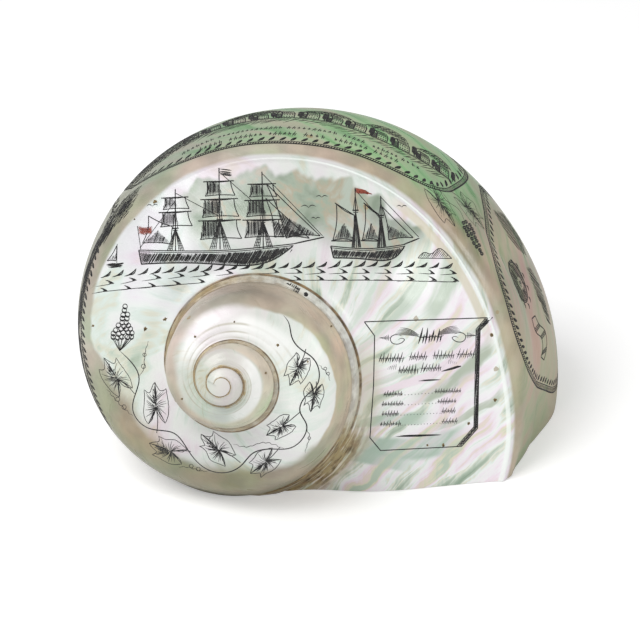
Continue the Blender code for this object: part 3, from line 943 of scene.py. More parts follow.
def made_by(tree, piece, values):
    """Runs a geometry tree on a piece and leaves the result as a plain mesh."""
    modifier = piece.modifiers.new("made", "NODES")
    modifier.node_group = tree
    for item in tree.interface.items_tree:
        if item.item_type == "SOCKET" and item.in_out == "INPUT" and item.name in values:
            modifier[item.identifier] = values[item.name]
    bpy.context.view_layer.update()
    result = bpy.data.meshes.new_from_object(piece.evaluated_get(bpy.context.evaluated_depsgraph_get()))
    piece.modifiers.clear()
    piece.data = result
    return piece


GROOVES = groove_tree()
BLACK_INK = ink("black ink", (0.009, 0.009, 0.011), (0.04, 0.038, 0.036))


def engrave(name, strokes, spread=on_sheet, filler=BLACK_INK):
    """Cuts strokes into the shell and fills them with ink."""
    piece = made_by(GROOVES, drawing(name, strokes, spread), {"Shell": shell, "Ink": filler})
    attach(piece, "root")
    return piece


def turned(points, angle, at=(0.0, 0.0), size=1.0):
    """Points turned by an angle, sized and moved."""
    c, s = cos(angle), sin(angle)
    return np.array(points, float) * size @ np.array([[c, s], [-s, c]]) + np.array(at)


LEAF_EDGE = (  # three stretches of a leaf's outline between its points: (along from heart to tip, sideways)
    ((0.0, 0.0), (-0.25, 0.09), (-0.46, 0.16), (-0.64, 0.33)),
    ((-0.64, 0.33), (-0.34, 0.45), (0.02, 0.50), (0.36, 0.43), (0.72, 0.42)),
    ((0.72, 0.42), (0.60, 0.24), (0.78, 0.12), (1.0, 0.0)),
)


def ivy_leaf(chance, tip, heart, spread_by=1.0):
    """A pointed leaf from its tip to its heart at the stalk: outline, ribs, many veins, and one side dark."""
    tip, heart = np.array(tip, float), np.array(heart, float)
    size = np.hypot(*(tip - heart))
    angle = np.arctan2(*(tip - heart)[::-1])
    strokes = []
    for side in (1, -1):
        rim = []
        for stretch in LEAF_EDGE:
            edge = np.array(stretch) * (1.0, side * spread_by)
            edge[1:-1] += chance.normal(0, 0.025, edge[1:-1].shape)
            rim.append(smooth(turned(edge, angle, heart, size), 0.45))
        rim = np.concatenate([rim[0], rim[1][1:], rim[2][1:]])
        rim = rim + chance.normal(0, 0.04, rim.shape)
        strokes.append(pen(rim, 0.21))
        shadow = side == 1
        count = 26 if shadow else 17
        for k in range(count):
            spot = (k + chance.uniform(0.3, 0.9)) / count * (len(rim) - 1)
            towards = rim[int(spot)]
            reach = chance.uniform(0.80, 0.97) if k % 3 == 0 else chance.uniform(0.45, 0.85)
            start = heart + (tip - heart) * chance.uniform(0.0, 0.5) * max(0.0, 2 * k / count - 1)
            end = start + (towards - start) * reach
            middle = (start + end) / 2 + (towards - start)[::-1] * (-0.05, 0.05)
            width = chance.uniform(0.17, 0.26) if shadow else 0.17
            strokes.append(curve([start, middle, end], width, 0.4, 0.8))
        for k in range(7 if shadow else 3):
            start = heart + (tip - heart) * chance.uniform(-0.1, 0.6)
            way = [(chance.uniform(0.02, 0.16), side * chance.uniform(0.06, 0.16))]
            way = turned(way, angle, size=size)[0]
            strokes.append(ruled([start, start + way], 0.30, 0.4))
        lobe = turned([np.array(LEAF_EDGE[0][-1]) * (1.0, side * spread_by)], angle, heart, size)[0]
        strokes.append(curve([heart, (heart + lobe) / 2 + (0.1, 0.1), lobe], 0.34, 0.5, 0.8))
    strokes.append(curve([heart, (heart + tip) / 2 + (0.15, 0.1), tip], 0.55, 0.5, 0.8))
    return strokes


def tendril(points, curls):
    """A fine wavy stroke with small loops on it."""
    line = smooth(points, 0.4)
    line = line + 0.16 * np.sin(np.arange(len(line)) * 1.1)[:, None]
    strokes = [pen(line, 0.18, 0.3)]
    for share, radius in curls:
        centre = line[round(share * (len(line) - 1))] + (0.0, radius)
        strokes.append(pen(centre + round_line(radius, radius, 12), 0.17))
    return strokes


VINE_WEIGHT = 1.18


def vine():
    """The vine that winds round the spire: its stem and tendrils, its leaves, and a bunch of grapes."""
    chance = np.random.default_rng(3)
    stem = [
        (-36.4, 14.1), (-29.7, 4), (-32.3, -6.6), (-27, -13.2), (-18, -15.1), (-12.3, -22.5), (-5.7, -28.5),
        (1.4, -29), (5.6, -26.5), (9, -22.8), (15.5, -21.2), (22.6, -20.9), (27, -17.2), (28, -13.2),
        (25.7, -8.4), (27.4, -3.6), (31.6, 0.5), (32.4, 5.5), (29.9, 10.2), (26.2, 12.9), (23.3, 16.9),
        (22, 22.6), (20.6, 24.4),
    ]
    strokes = [curve(stem, 0.36, 0.04, 0.8)]
    leaves = [
        ((-42.3, 11.8), (-37.6, 4.2), 1.0, (-31.5, -1.1)),
        ((-24.2, 2.8), (-24.0, -6.0), 1.05, (-24.0, -15)),
        ((-26.8, -18.6), (-19.3, -21.6), 1.05, (-12.2, -21.6)),
        ((-8.4, -15.6), (-2.3, -21.4), 1.0, (5, -25.8)), ((8.4, -29.8), (14.0, -25.6), 1.15, (18.7, -20.6)),
        ((14.1, -16.4), (19.6, -13.4), 1.1, (25.8, -8.5)), ((29.4, -8.6), (30.6, -2.6), 1.1, (31.4, 1.7)),
        ((22.3, 0.6), (25.2, 6.8), 1.1, (28, 12.9)),
    ]
    for tip, heart, spread_by, joint in leaves:
        strokes += ivy_leaf(chance, tip, heart, spread_by)
        middle = (np.array(heart) + joint) / 2 + (0.5, 0.3)
        strokes.append(curve([heart, middle, joint], 0.26, step=0.8))
    for points, curls in (
        ([(-32.3, -9), (-35, -6.6), (-37.8, -3.8), (-41.5, 0.9)], [(0.3, 0.8), (0.55, 0.75)]),
        ([(-30.1, 4.5), (-28, 7.5), (-27.6, 11.7), (-26, 17.2)], [(0.3, 0.75), (0.6, 0.6)]),
        ([(-5.7, -28.7), (-9.2, -28.6), (-12, -27.6), (-16.9, -27.1)], [(0.35, 0.7), (0.6, 0.7)]),
        ([(20, -21.2), (12, -19), (8.1, -20.2), (2.8, -19.3)], []),
        ([(27.6, -13.7), (28.9, -17.6), (28.1, -20.3), (27.4, -23)], [(0.5, 0.5)]),
        ([(32.4, 7.3), (34.4, 5.5), (36.3, 1.9)], [(0.4, 0.5), (0.7, 0.5)]),
    ):
        strokes += tendril(points, curls)
    # The grapes, row under row from the tip of the bunch, and the small stalks that gather them.
    grape = 0.82 * round_line(1.0, 1.1, 12)
    joint = np.array([-36.4, 14.1])
    rows = [(29.4, 1), (27.9, 1), (26.6, 2), (25.2, 2), (23.9, 2), (22.7, 3), (21.4, 4), (20.1, 5), (18.8, 5)]
    for height, count in rows:
        for k in range(count):
            centre = np.array([-33.9 - (29.4 - height) * 0.13 + (k - (count - 1) / 2) * 1.65, height])
            centre = centre + chance.normal(0, 0.15, 2)
            berry = centre + grape
            strokes.append(pen(berry, 0.27))
            strokes.append(pen(centre + (berry[6:12] - centre) * 0.72, 0.3, 0.4))
            if height < 21:
                stalk = [centre - (0, 0.8), (centre + joint) / 2 - (0, 0.6), joint]
                strokes.append(curve(stalk, 0.24, step=0.8))
    return strokes


engrave("vine_engraving", widened(vine(), 1.0, VINE_WEIGHT))


# ---------------------------------------------------------------------------------------------------------
# The ships, engraved over the top of the ramp: a three-master with all its sails set, a schooner, a small
# boat, gulls, and a low coast far off. The shading is all fine parallel lines.

SHORTEST_HATCH = 0.25


def hatched(rim, angle, gap, width, chance, loose=0.15, taper=0.3):
    """Parallel strokes at an angle across the inside of a closed outline."""
    rim = turned(rim, -angle)
    after = np.roll(rim, -1, axis=0)
    strokes = []
    for height in np.arange(rim[:, 1].min() + gap / 2, rim[:, 1].max(), gap):
        height += chance.uniform(-0.2, 0.2) * gap
        crossed = (rim[:, 1] > height) != (after[:, 1] > height)
        a, b = rim[crossed], after[crossed]
        ends = np.sort(a[:, 0] + (height - a[:, 1]) / (b[:, 1] - a[:, 1]) * (b[:, 0] - a[:, 0]))
        for start, end in zip(ends[::2], ends[1::2]):
            start, end = start + abs(chance.normal(0, loose)), end - abs(chance.normal(0, loose))
            if end - start > SHORTEST_HATCH:
                line = turned(straight([(start, height), (end, height)]), angle)
                strokes.append(pen(line, width * chance.uniform(0.7, 1.2), taper))
    return strokes


def hull(chance, stern, bow, water, height):
    """A hull in close slanting lines, with its rail, from the stern to the raked bow and its bowsprit."""
    length = bow - stern
    deck = smooth([
        (stern, water + height), (stern + 0.5 * length, water + 0.78 * height), (bow, water + 1.1 * height),
    ])
    keel = smooth([
        (bow - 0.3, water + 0.95 * height), (bow - 0.13 * length, water + 0.15 * height),
        (stern + 0.45 * length, water - 0.1), (stern + 0.9, water + 0.1 * height),
    ])
    sprit = deck[-1] + np.array([(-1.0, -0.2), (0.20 * length, 2.2)])
    strokes = [pen(deck, 0.3), pen(deck - (0, 0.6), 0.24), pen(keel, 0.4), ruled([deck[0], keel[-1]], 0.4)]
    strokes += [ruled(sprit, 0.4, 0.2)]
    strokes += hatched(np.concatenate([deck - (0, 0.9), keel]), radians(58), 0.40, 0.34, chance, 0.12, 0.12)
    shaded = np.concatenate([deck - (0, 0.55 * height), keel])
    return strokes + hatched(shaded, radians(53), 0.8, 0.3, chance, 0.5, 0.2)


def set_sail(chance, corners, shade, angle):
    """A sail with bellied edges between its corners, and the part of it in shade (corners) in close lines."""
    strokes = []
    middle = np.mean(corners, axis=0)
    for start, end in zip(corners, corners[1:] + corners[:1]):
        halfway = (np.array(start) + end) / 2
        strokes.append(curve([start, halfway + (middle - halfway) * 0.12 + (0.25, 0.0), end], 0.28))
    return strokes + hatched(shade, angle, 0.36, 0.24, chance, 0.2, 0.1)


def square_sails(chance, at, rows):
    """Square sails one over the other on a mast, filled towards the bow: (half width, foot, head) of each."""
    strokes = []
    for half, foot, head in rows:
        corners = [
            (at - half, foot), (at - 0.86 * half, head), (at + 0.86 * half, head), (at + half + 0.8, foot),
        ]
        strokes += set_sail(
            chance, corners,
            [corners[0], corners[1], (at - 0.1 * half, head), (at + 0.3 * half, foot + 0.4)], pi / 2,
        )
        strokes.append(ruled([(at - half - 0.6, head), (at + half + 0.6, head)], 0.34))
    return strokes


def mast(foot, top, ledge, spread_by, steps):
    """A mast with its platform, the shrouds that hold it from both sides, and the steps across them."""
    foot, top = np.array(foot), np.array(top)
    at = foot + (top - foot) * ledge
    strokes = [ruled([foot, top], 0.32), ruled([at - (1.1, 0), at + (1.1, 0)], 0.42)]
    strokes.append(ruled([at - (0.9, 0.7), at + (0.9, -0.7)], 0.25))
    high = foot + (top - foot) * (0.35 + 0.65 * ledge + 0.12)
    for side in (-1, 1):
        for k in range(4):
            strokes.append(ruled([foot + (side * spread_by * (1 - 0.2 * k), 0), at], 0.22))
        strokes.append(ruled([at + (side * 0.8, 0), high], 0.18))
        for k in range(1, 2 * steps):
            share = k / (2 * steps) * 0.85
            inner = foot * (1 - share) + at * share + (side * spread_by * 0.42 * (1 - share), 0)
            strokes.append(ruled([inner, inner + (side * spread_by * 0.56 * (1 - share), 0)], 0.17))
    return strokes


SHIP_WEIGHT = 1.2


def ships():
    """A three-master under full sail, a schooner, a small boat, gulls and a low coast."""
    chance = np.random.default_rng(8)
    strokes = hull(chance, -29.0, 25.0, 43.6, 5.6) + hull(chance, 38.0, 64.5, 44.2, 4.6)
    # The three-master, from its stern to its bow.
    for at, top, spread_by, rows in (
        (-16.0, 70.4, 3.0, ((5.2, 57.0, 62.2), (4.2, 63.2, 67.4))),
        (-0.5, 77.4, 3.6, ((6.8, 52.0, 58.6), (6.0, 59.8, 66.2), (4.8, 67.4, 72.6))),
        (14.5, 75.6, 3.4, ((6.4, 52.2, 58.4), (5.6, 59.6, 65.4), (4.4, 66.6, 71.2))),
    ):
        strokes += mast((at, 48.4), (at + 0.2, top), 0.36, spread_by, 4) + square_sails(chance, at, rows)
    strokes += set_sail(
        chance, [(-17.0, 50.6), (-27.6, 51.6), (-25.4, 61.2), (-17.0, 57.0)],
        [(-17.0, 50.6), (-27.6, 51.6), (-22.0, 56.0)], 1.2,
    )
    for foot, out, head in (
        ((18.5, 52.2), (30.6, 51.6), (15.8, 66.0)), ((22.5, 51.8), (34.4, 52.4), (16.0, 71.4)),
    ):
        strokes += set_sail(chance, [foot, out, head], [foot, out, (np.array(foot) + head) / 2], 1.1)
    # The schooner, with a gaff sail behind each mast, and its jib.
    for at, top, half in ((47.0, 69.4, 8.2), (56.0, 66.4, 6.8)):
        strokes += mast((at, 48.2), (at + 0.2, top), 0.62, 1.6, 3)
        corners = [(at - 0.4, 50.4), (at - half, 50.8), (at - 0.8 * half, 63.6), (at - 0.4, 59.6)]
        strokes += set_sail(chance, corners, [corners[0], corners[1], (at - 0.5 * half, 57.0)], 1.35)
        strokes.append(ruled([corners[1] - np.array((0.6, 0.2)), corners[0]], 0.34))
        strokes.append(ruled([corners[2] + np.array((-0.5, 0.4)), corners[3]], 0.30))
    strokes += set_sail(
        chance, [(58.6, 50.8), (67.4, 51.6), (56.6, 62.6)], [(58.6, 50.8), (67.4, 51.6), (57.6, 56.8)], 1.1,
    )
    # Stays, a flag staff, the small boat, gulls and the coast.
    for start, end in (
        ((-15.8, 69.0), (-0.6, 60.0)), ((-0.3, 76.0), (14.4, 62.0)), ((14.7, 75.0), (35.2, 52.4)),
        ((-16.0, 66.0), (-28.6, 49.8)), ((47.2, 68.6), (55.8, 58.4)), ((56.2, 66.0), (69.4, 51.8)),
        ((-28.2, 49.2), (-29.4, 57.8)), ((-36.9, 44.8), (-36.7, 51.8)),
    ):
        strokes.append(ruled([start, end], 0.2))
    strokes += hatched(
        [(-41.0, 45.0), (-34.2, 44.9), (-35.4, 43.3), (-40.0, 43.4)], 0.1, 0.34, 0.36, chance, 0.05,
    )
    strokes += set_sail(
        chance, [(-37.2, 45.8), (-40.4, 46.0), (-36.9, 51.2)],
        [(-37.2, 45.8), (-40.4, 46.0), (-37.0, 48.8)], 1.2,
    )
    for right, up, size in (
        (-24.0, 64.6, 1.0), (30.6, 62.4, 1.3), (35.4, 66.0, 1.0), (33.0, 58.4, 0.8), (63.6, 62.4, 0.9),
    ):
        for way in (-1, 1):
            wing = [
                (right, up), (right + 0.9 * way * size, up + 0.7 * size),
                (right + 2.0 * way * size, up + 0.3 * size),
            ]
            strokes.append(curve(wing, 0.26, 0.4, 0.5))
    coast = smooth([(69.0, 44.4), (71.6, 46.4), (73.6, 45.8), (76.6, 47.8), (79.2, 46.2), (81.2, 44.2)])
    strokes += [pen(coast, 0.24), ruled([coast[0], coast[-1]], 0.22)]
    strokes += hatched(coast, 0.9, 0.55, 0.22, chance)
    # The dark flag of the tallest mast.
    strokes += hatched(
        [(-0.3, 77.2), (4.2, 76.4), (4.4, 74.2), (-0.3, 74.8)], radians(-10), 0.62, 0.4, chance,
    )
    return widened(strokes, 1.0, SHIP_WEIGHT)


def flags():
    """The plain red flags: one at the three-master's stern and one on the schooner."""
    chance = np.random.default_rng(5)
    ensign = [(-29.3, 57.8), (-26.6, 57.2), (-24.0, 57.6), (-24.2, 54.8), (-26.6, 54.4), (-29.1, 55.0)]
    pennant = [(47.2, 69.4), (50.4, 68.6), (53.2, 67.0), (50.0, 67.2), (47.2, 67.4)]
    strokes = hatched(ensign, radians(-40), 0.3, 0.3, chance, 0.12, 0.1)
    strokes += hatched(ensign, radians(50), 0.5, 0.26, chance, 0.08, 0.1)
    return strokes + hatched(pennant, radians(-20), 0.2, 0.34, chance, 0.05, 0.1)


engrave("ships_engraving", ships())
RED_INK = ink("red ink", (0.27, 0.045, 0.028), (0.46, 0.12, 0.075))
engrave("flags_engraving", flags(), filler=RED_INK)


# ---------------------------------------------------------------------------------------------------------
# The sea under the ships: three rows of feathered wave marks, each cut over and over along its row, and the
# thin lines that the lower rows stand on.


def row_tree():
    """The same mark again and again along a path on the drawing, then pressed and inked as any line."""
    tree, given, out = geometry_tree("row of marks", [
        ("Mark", "Object", None), ("Spacing", "Float", 0.002), ("Size", "Float", 1.0),
        ("Unevenness", "Float", 0.12), ("Seed", "Int", 0), ("Shell", "Object", None),
        ("Ink", "Material", None),
    ])
    path = node(tree, "GeometryNodeMeshToCurve", {"Mesh": given["Geometry"]}).outputs["Curve"]
    spots = tree.nodes.new("GeometryNodeResampleCurve")
    spots.mode = "LENGTH"
    tree.links.new(path, spots.inputs["Curve"])
    tree.links.new(given["Spacing"], spots.inputs["Length"])
    towards = node(
        tree, "ShaderNodeVectorMath", {0: named(tree, "aim", "FLOAT_VECTOR"), "Scale": -1.0},
        operation="SCALE",
    )
    along = tree.nodes.new("GeometryNodeInputTangent").outputs[0]
    lie = node(tree, "FunctionNodeAxesToRotation", {
        "Primary Axis": towards.outputs[0], "Secondary Axis": along
    }, primary_axis="Z", secondary_axis="X").outputs[0]
    lowest = sums("SUBTRACT", 1.0, given["Unevenness"])
    highest = sums("ADD", 1.0, given["Unevenness"])
    size = node(tree, "FunctionNodeRandomValue", {2: lowest, 3: highest, 8: given["Seed"]}, data_type="FLOAT")
    mark = node(tree, "GeometryNodeObjectInfo", {"Object": given["Mark"]}).outputs["Geometry"]
    marks = node(tree, "GeometryNodeInstanceOnPoints", {
        "Points": spots.outputs[0], "Instance": mark, "Rotation": lie,
        "Scale": product(size.outputs[1], given["Size"]),
    }).outputs[0]
    slant = product(given["Unevenness"], 0.6)
    lean = node(tree, "FunctionNodeRandomValue", {
        2: product(slant, -1.0), 3: slant, 8: sums("ADD", given["Seed"], 1.0)
    }, data_type="FLOAT").outputs[1]
    lean = vector(0.0, 0.0, lean)
    marks = node(tree, "GeometryNodeRotateInstances", {"Instances": marks, "Rotation": lean}).outputs[0]
    marks = node(tree, "GeometryNodeRealizeInstances", {"Geometry": marks}).outputs[0]
    inked = node(tree, "GeometryNodeGroup", node_tree=GROOVES)
    tree.links.new(marks, inked.inputs["Geometry"])
    tree.links.new(given["Shell"], inked.inputs["Shell"])
    tree.links.new(given["Ink"], inked.inputs["Ink"])
    tree.links.new(inked.outputs[0], out[0])
    return tree


MARK_ROWS = row_tree()


def engrave_row(name, mark, paths, spacing, seed, spread=on_sheet, size=1.0, unevenness=0.12):
    """Cuts a mark, drawn in millimetres along +X, over and over along paths."""
    stamp = drawing(
        name + "_mark", mark,
        lambda points: (np.pad(points / 1000, ((0, 0), (0, 1))), np.zeros((len(points), 3))),
    )
    stamp.data.attributes.remove(stamp.data.attributes["aim"])
    rows = drawing(name, [(path, np.ones(len(path))) for path in paths], spread)
    rows.data.attributes.remove(rows.data.attributes["width"])
    piece = made_by(MARK_ROWS, rows, {
        "Mark": stamp, "Spacing": spacing / 1000, "Size": size, "Unevenness": unevenness, "Seed": seed,
        "Shell": shell, "Ink": BLACK_INK,
    })
    bpy.data.objects.remove(stamp)
    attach(piece, "root")
    return piece


WAVE_CREST = [
    curve([(-1.9, -1.2), (-0.7, -0.9), (0.3, -0.2), (1.3, 1.1)], 0.5, 0.5, 0.5),
    curve([(-0.9, -1.0), (0.5, -0.7), (1.2, 0.9)], 0.4, 0.5, 0.5),
    curve([(0.3, -0.9), (0.8, -0.3), (1.3, 1.0)], 0.3, 0.5, 0.5),
]
WAVE_HOLLOW = [
    curve([(-0.8, 1.25), (0.5, 0.7), (1.7, 0.0)], 0.42, 0.4, 0.5),
    curve([(-0.2, 0.95), (0.9, 0.5), (2.1, -0.2)], 0.42, 0.5, 0.5),
    curve([(-4.4, -0.5), (-1.0, -0.4), (2.2, -0.25)], 0.24, 0.4, 0.8),
    curve([(0.1, 0.5), (0.9, 0.1), (2.0, -0.15)], 0.40, 0.5, 0.5),
    curve([(-0.2, -0.4), (0.9, -0.05), (1.9, -0.15)], 0.28, 0.5, 0.5),
]
engrave_row(
    "wave_crests_engraving", widened(WAVE_CREST, (1.35, 0.95), 1.25),
    [smooth([(-40.6, 41.3), (-10, 42.0), (25, 42.4), (60, 42.4), (79.5, 41.7)])], 4.4, 2,
)
engrave_row("wave_hollows_engraving", WAVE_HOLLOW, [
    smooth([(-40.2, 37.9), (-20, 39.2), (2.0, 39.9)]), smooth([(18.0, 40.0), (45, 39.6), (81, 39.0)]),
    smooth([(-42.3, 35.4), (-20, 36.5), (-7.8, 37.2)]), smooth([(25.5, 37.4), (50, 37.2), (81.5, 36.4)]),
], 7.4, 4)
engrave("sea_line_engraving", [
    curve([(-43.8, 35.0), (-25, 36.0), (-6.6, 36.9)], 0.24),
    curve([(23.6, 37.1), (52, 36.7), (82.6, 35.9)], 0.24),
])


# ---------------------------------------------------------------------------------------------------------
# The panel to the right of the spire: a frame with a shaded right side round rows of small strokes, which
# stand in for writing, with flourishes, dashes and dotted leaders between them.

TALL_STROKE = [
    curve([(-0.50, -1.1), (-0.15, 0.0), (0.15, 1.35)], 0.34, 0.5, 0.6),
    curve([(0.12, -1.0), (0.30, -0.3), (0.42, 0.35)], 0.3, 0.5, 0.5),
    curve([(-0.75, 0.1), (0.0, -0.15), (0.8, 0.15)], 0.16, 0.4, 0.5),
]
SHORT_STROKE = [
    curve([(-0.30, -0.7), (-0.05, 0.0), (0.2, 0.85)], 0.3, 0.5, 0.5),
    curve([(0.15, -0.6), (0.25, -0.2), (0.35, 0.25)], 0.24, 0.5, 0.4),
    curve([(-0.5, 0.05), (0.0, -0.1), (0.5, 0.1)], 0.14, 0.4, 0.4),
]
DOT = [pen(np.array([(-0.13, 0.0), (0.13, 0.0)]), 0.26)]


def level(u_start, u_end, v_start, v_end=None):
    """A straight path across the sheet."""
    return straight([(u_start, v_start), (u_end, v_start if v_end is None else v_end)])


def flourish(at, way):
    """A feathered flourish: a loop, the fine lines that fan out from it, and a small tuft behind it."""
    at = np.array(at)
    loop = [
        (4.4, 0.3), (1.8, 0.8), (0.2, -0.4), (0.8, -2.0), (2.7, -2.5), (4.4, -1.9), (5.2, -0.9), (4.0, -0.5),
        (2.9, -1.1),
    ]
    loop = smooth(loop, 0.5)
    strokes = [pen(at + loop * (way, 1), 0.3, 0.2)]
    for k in range(6):
        feather = [
            (1.5 + 0.42 * k, 0.7 + 0.5 * k), (5.2 + 0.2 * k, 0.75 + 0.42 * k),
            (9.9 + 0.12 * k, 0.1 + 0.1 * k),
        ]
        strokes.append(pen(at + smooth(feather, 0.6) * (way, 1), 0.26, 0.4))
    for k in range(6):
        for tuft in (0.9 - 0.18 * k, -1.3 + 0.18 * k):
            barb = smooth([(-0.4 - 0.5 * k, -0.2), (-0.6 - 0.5 * k, tuft)], 0.5)
            strokes.append(pen(at + barb * (way, 1), 0.24, 0.4))
    return strokes + [pen(at + straight([(0.4, -0.3), (-3.8, -0.2)]) * (way, 1), 0.26, 0.2)]


def panel():
    """The panel's frame with its shaded edge, its flourishes, and the dashes between its rows."""
    chance = np.random.default_rng(12)
    rim = [
        (49.4, 22.3), (73.0, 22.7), (95.9, 23.2), (91.3, 18.7), (90.8, 0.0), (90.5, -16.3), (84.7, -22.6),
        (70.0, -22.9), (55.2, -23.3), (51.4, -18.6), (52.6, 0.0), (53.0, 17.4), (49.4, 22.3),
    ]
    strokes = [ruled(rim, 0.36)]
    shade = np.array(rim[2:7] + [(82.9, -22.5), (89.1, -15.6), (89.4, 0.0), (89.8, 19.2), (93.2, 22.9)])
    strokes += hatched(shade, radians(8), 0.3, 0.32, chance, 0.02, 0.05)
    strokes += hatched(shade, radians(85), 0.4, 0.34, chance, 0.3, 0.1)
    strokes += [ruled(shade[5:], 0.24)]
    strokes += flourish((58.4, 16.8), 1) + flourish((86.2, 17.2), -1)
    for u_start, u_end, v_start, v_end, width in (
        (68.6, 76.8, 1.2, 1.5, 0.5), (77.0, 84.4, 4.4, 6.2, 0.9), (60.6, 77.2, -18.4, -18.2, 0.8),
    ):
        strokes += [pen(level(u_start, u_end, v_start, v_end), width, 0.5)]
        strokes += [pen(level(u_start + 1.5, u_end - 1.0, v_start + 0.35, v_end + 0.1), width * 0.6, 0.5)]
    for k in range(5):
        strokes.append(ruled([(57.6 + 0.7 * k, 5.4), (57.9 + 0.7 * k, 6.4 + 0.25 * k)], 0.22, 0.3))
        strokes.append(ruled([(79.6 + 0.7 * k, 7.0), (79.9 + 0.7 * k, 8.6 - 0.25 * k)], 0.22, 0.3))
    return strokes


engrave("panel_engraving", panel())
engrave_row(
    "panel_title_engraving", widened(TALL_STROKE, 2.1, 2.2), [level(69.8, 76.2, 16.8)], 1.9, 21,
    unevenness=0.2,
)
engrave_row(
    "panel_heading_engraving", widened(TALL_STROKE, 1.35, 1.15),
    [
        level(55.2, 62.6, 9.4), level(66.0, 71.0, 9.8), level(74.6, 81.0, 10.1), level(83.6, 89.2, 10.4),
        level(62.0, 67.8, 5.2), level(70.2, 76.2, 5.7),
    ],
    1.15, 22, unevenness=0.3,
)
engrave_row(
    "panel_rows_engraving", widened(SHORT_STROKE, 1.3, 1.15),
    [
        level(56.6, 62.4, -3.2), level(75.0, 83.8, -2.6), level(56.0, 62.8, -6.7), level(76.0, 82.0, -6.2),
        level(56.0, 61.0, -10.2), level(77.6, 81.6, -9.7), level(55.4, 61.8, -13.8),
        level(77.8, 82.4, -13.4),
    ],
    0.95, 23, unevenness=0.3,
)
engrave_row(
    "panel_leaders_engraving", DOT,
    [
        level(63.8, 73.6, -3.6, -3.2), level(63.8, 75.0, -7.2, -6.8), level(62.4, 76.6, -10.8, -10.4),
        level(62.8, 76.6, -14.4, -14.0),
    ],
    1.15, 24, unevenness=0.1,
)


# ---------------------------------------------------------------------------------------------------------
# Old damage on the front: brown pits where the wall was bored, and a small chip and hole in the ledge.

PITS = (  # (right, up, radius) on the sheet, in millimetres
    (-23.0, 66.2, 0.8), (-46.0, 23.2, 0.5), (-20.1, 24.6, 0.7), (-27.2, 21.4, 0.75), (18.5, 14.4, 0.6),
    (14.1, 5.0, 0.5), (95.6, 17.0, 0.75), (97.0, -6.2, 0.7), (87.2, -14.3, 0.6), (78.0, -22.0, 0.65),
    (72.1, -21.8, 0.4), (-30.4, 60.3, 0.35), (-14.6, -3.2, 0.4), (37.4, 20.8, 0.45), (62.6, -3.4, 0.3),
    (-9.6, 17.9, 0.45), (3.8, 22.6, 0.35), (28.6, 8.6, 0.35),
)


def pits():
    """Each pit is a ragged patch of short strokes from its middle."""
    chance = np.random.default_rng(90)
    strokes = []
    for right, up, radius in PITS:
        for angle in np.arange(11) * 2 * pi / 11 + chance.uniform(0, 1):
            reach = radius * chance.uniform(0.55, 1.25)
            spot = np.array([right, up])
            edge = spot + (reach * cos(angle), reach * sin(angle))
            strokes.append(pen(np.linspace(spot, edge, 4), radius * 0.75, 0.5))
    return strokes


BROWN_STAIN = ink("brown stain", (0.16, 0.10, 0.035), (0.42, 0.31, 0.14))
engrave("pits_stain", pits(), filler=BROWN_STAIN)


def chip():
    """A chip with dark ends and a paler middle, and a round hole beside it."""
    chance = np.random.default_rng(91)
    strokes = []
    for start, end, gap in ((-2.5, -1.2, 0.22), (-1.2, 1.1, 0.62), (1.1, 2.5, 0.22)):
        corners = turned([(start, -1.2), (end, -1.3), (end, 1.2), (start, 1.1)], radians(-32), (24.4, 34.6))
        strokes += hatched(corners, radians(58), gap, 0.34, chance, 0.15, 0.05)
    for radius in (0.25, 0.6):
        strokes.append(pen(round_line(radius, radius, 16) + (28.9, 32.0), 0.42))
    return strokes


engrave("chip_engraving", chip())


# ---------------------------------------------------------------------------------------------------------
# The outer band, engraved round the last turn: a long oval framed by a rope and a row of laurel leaves, with
# a street on hatched ground and rows of strokes in it, and past its end leaves, grapes and two more ovals.

BAND_LIFT = 0.004  # how far over the shell a line is held before it is pressed on
LIKE_LENGTHS = np.array([50.0, 1.0])  # scales (turn, share) so that both count alike on the shell
HATCH_SCALE = 10.0 * LIKE_LENGTHS  # and this scales them to roughly millimetres
shell_shift = spire_tip - np.array([0.0, 0.0, APEX_HEIGHT])


def band_frame(turn, share):
    """Spots on the outside at turns and outline shares, with unit vectors along the turn, across and out."""
    def spot(turn, share):
        return place(turn[:, None], outline(turn[:, None], share[:, None]))[:, 0] + shell_shift

    here = spot(turn, share)
    along = spot(turn + 1e-3, share) - here
    across = spot(turn, share + 1e-2) - here
    out = np.cross(along, across)
    return here, *(v / np.linalg.norm(v, axis=1, keepdims=True) for v in (along, np.cross(out, along), out))


def on_band(points):
    """Places and aims of points given as (turn, outline share)."""
    here, _, _, out = band_frame(points[:, 0], points[:, 1])
    return here + BAND_LIFT * out, -out


def on_patch(turn, share):
    """A spread for a small flat drawing in millimetres at one place on the band: +X is along the turn."""
    here, along, across, out = (row[0] for row in band_frame(np.array([turn]), np.array([share])))

    def spread(points):
        spots = here + points[:, :1] / 1000 * along + points[:, 1:] / 1000 * across + 2 * BAND_LIFT * out
        return spots, np.broadcast_to(-out, spots.shape)

    return spread


def around(points, steps=160):
    """A smooth line through (turn, share) points, in steps of like length on the shell."""
    points = np.array(points, float) * LIKE_LENGTHS
    return through(points, even_shares(points, 0, len(points) - 1, steps)) / LIKE_LENGTHS


def aside(line, by):
    """A line (turn, share) moved sideways by so many shares, to its left."""
    way = np.gradient(line, axis=0) * LIKE_LENGTHS
    way /= np.maximum(np.linalg.norm(way, axis=1, keepdims=True), 1e-9)
    return line + by * (np.stack([-way[:, 1], way[:, 0]], 1) / LIKE_LENGTHS)


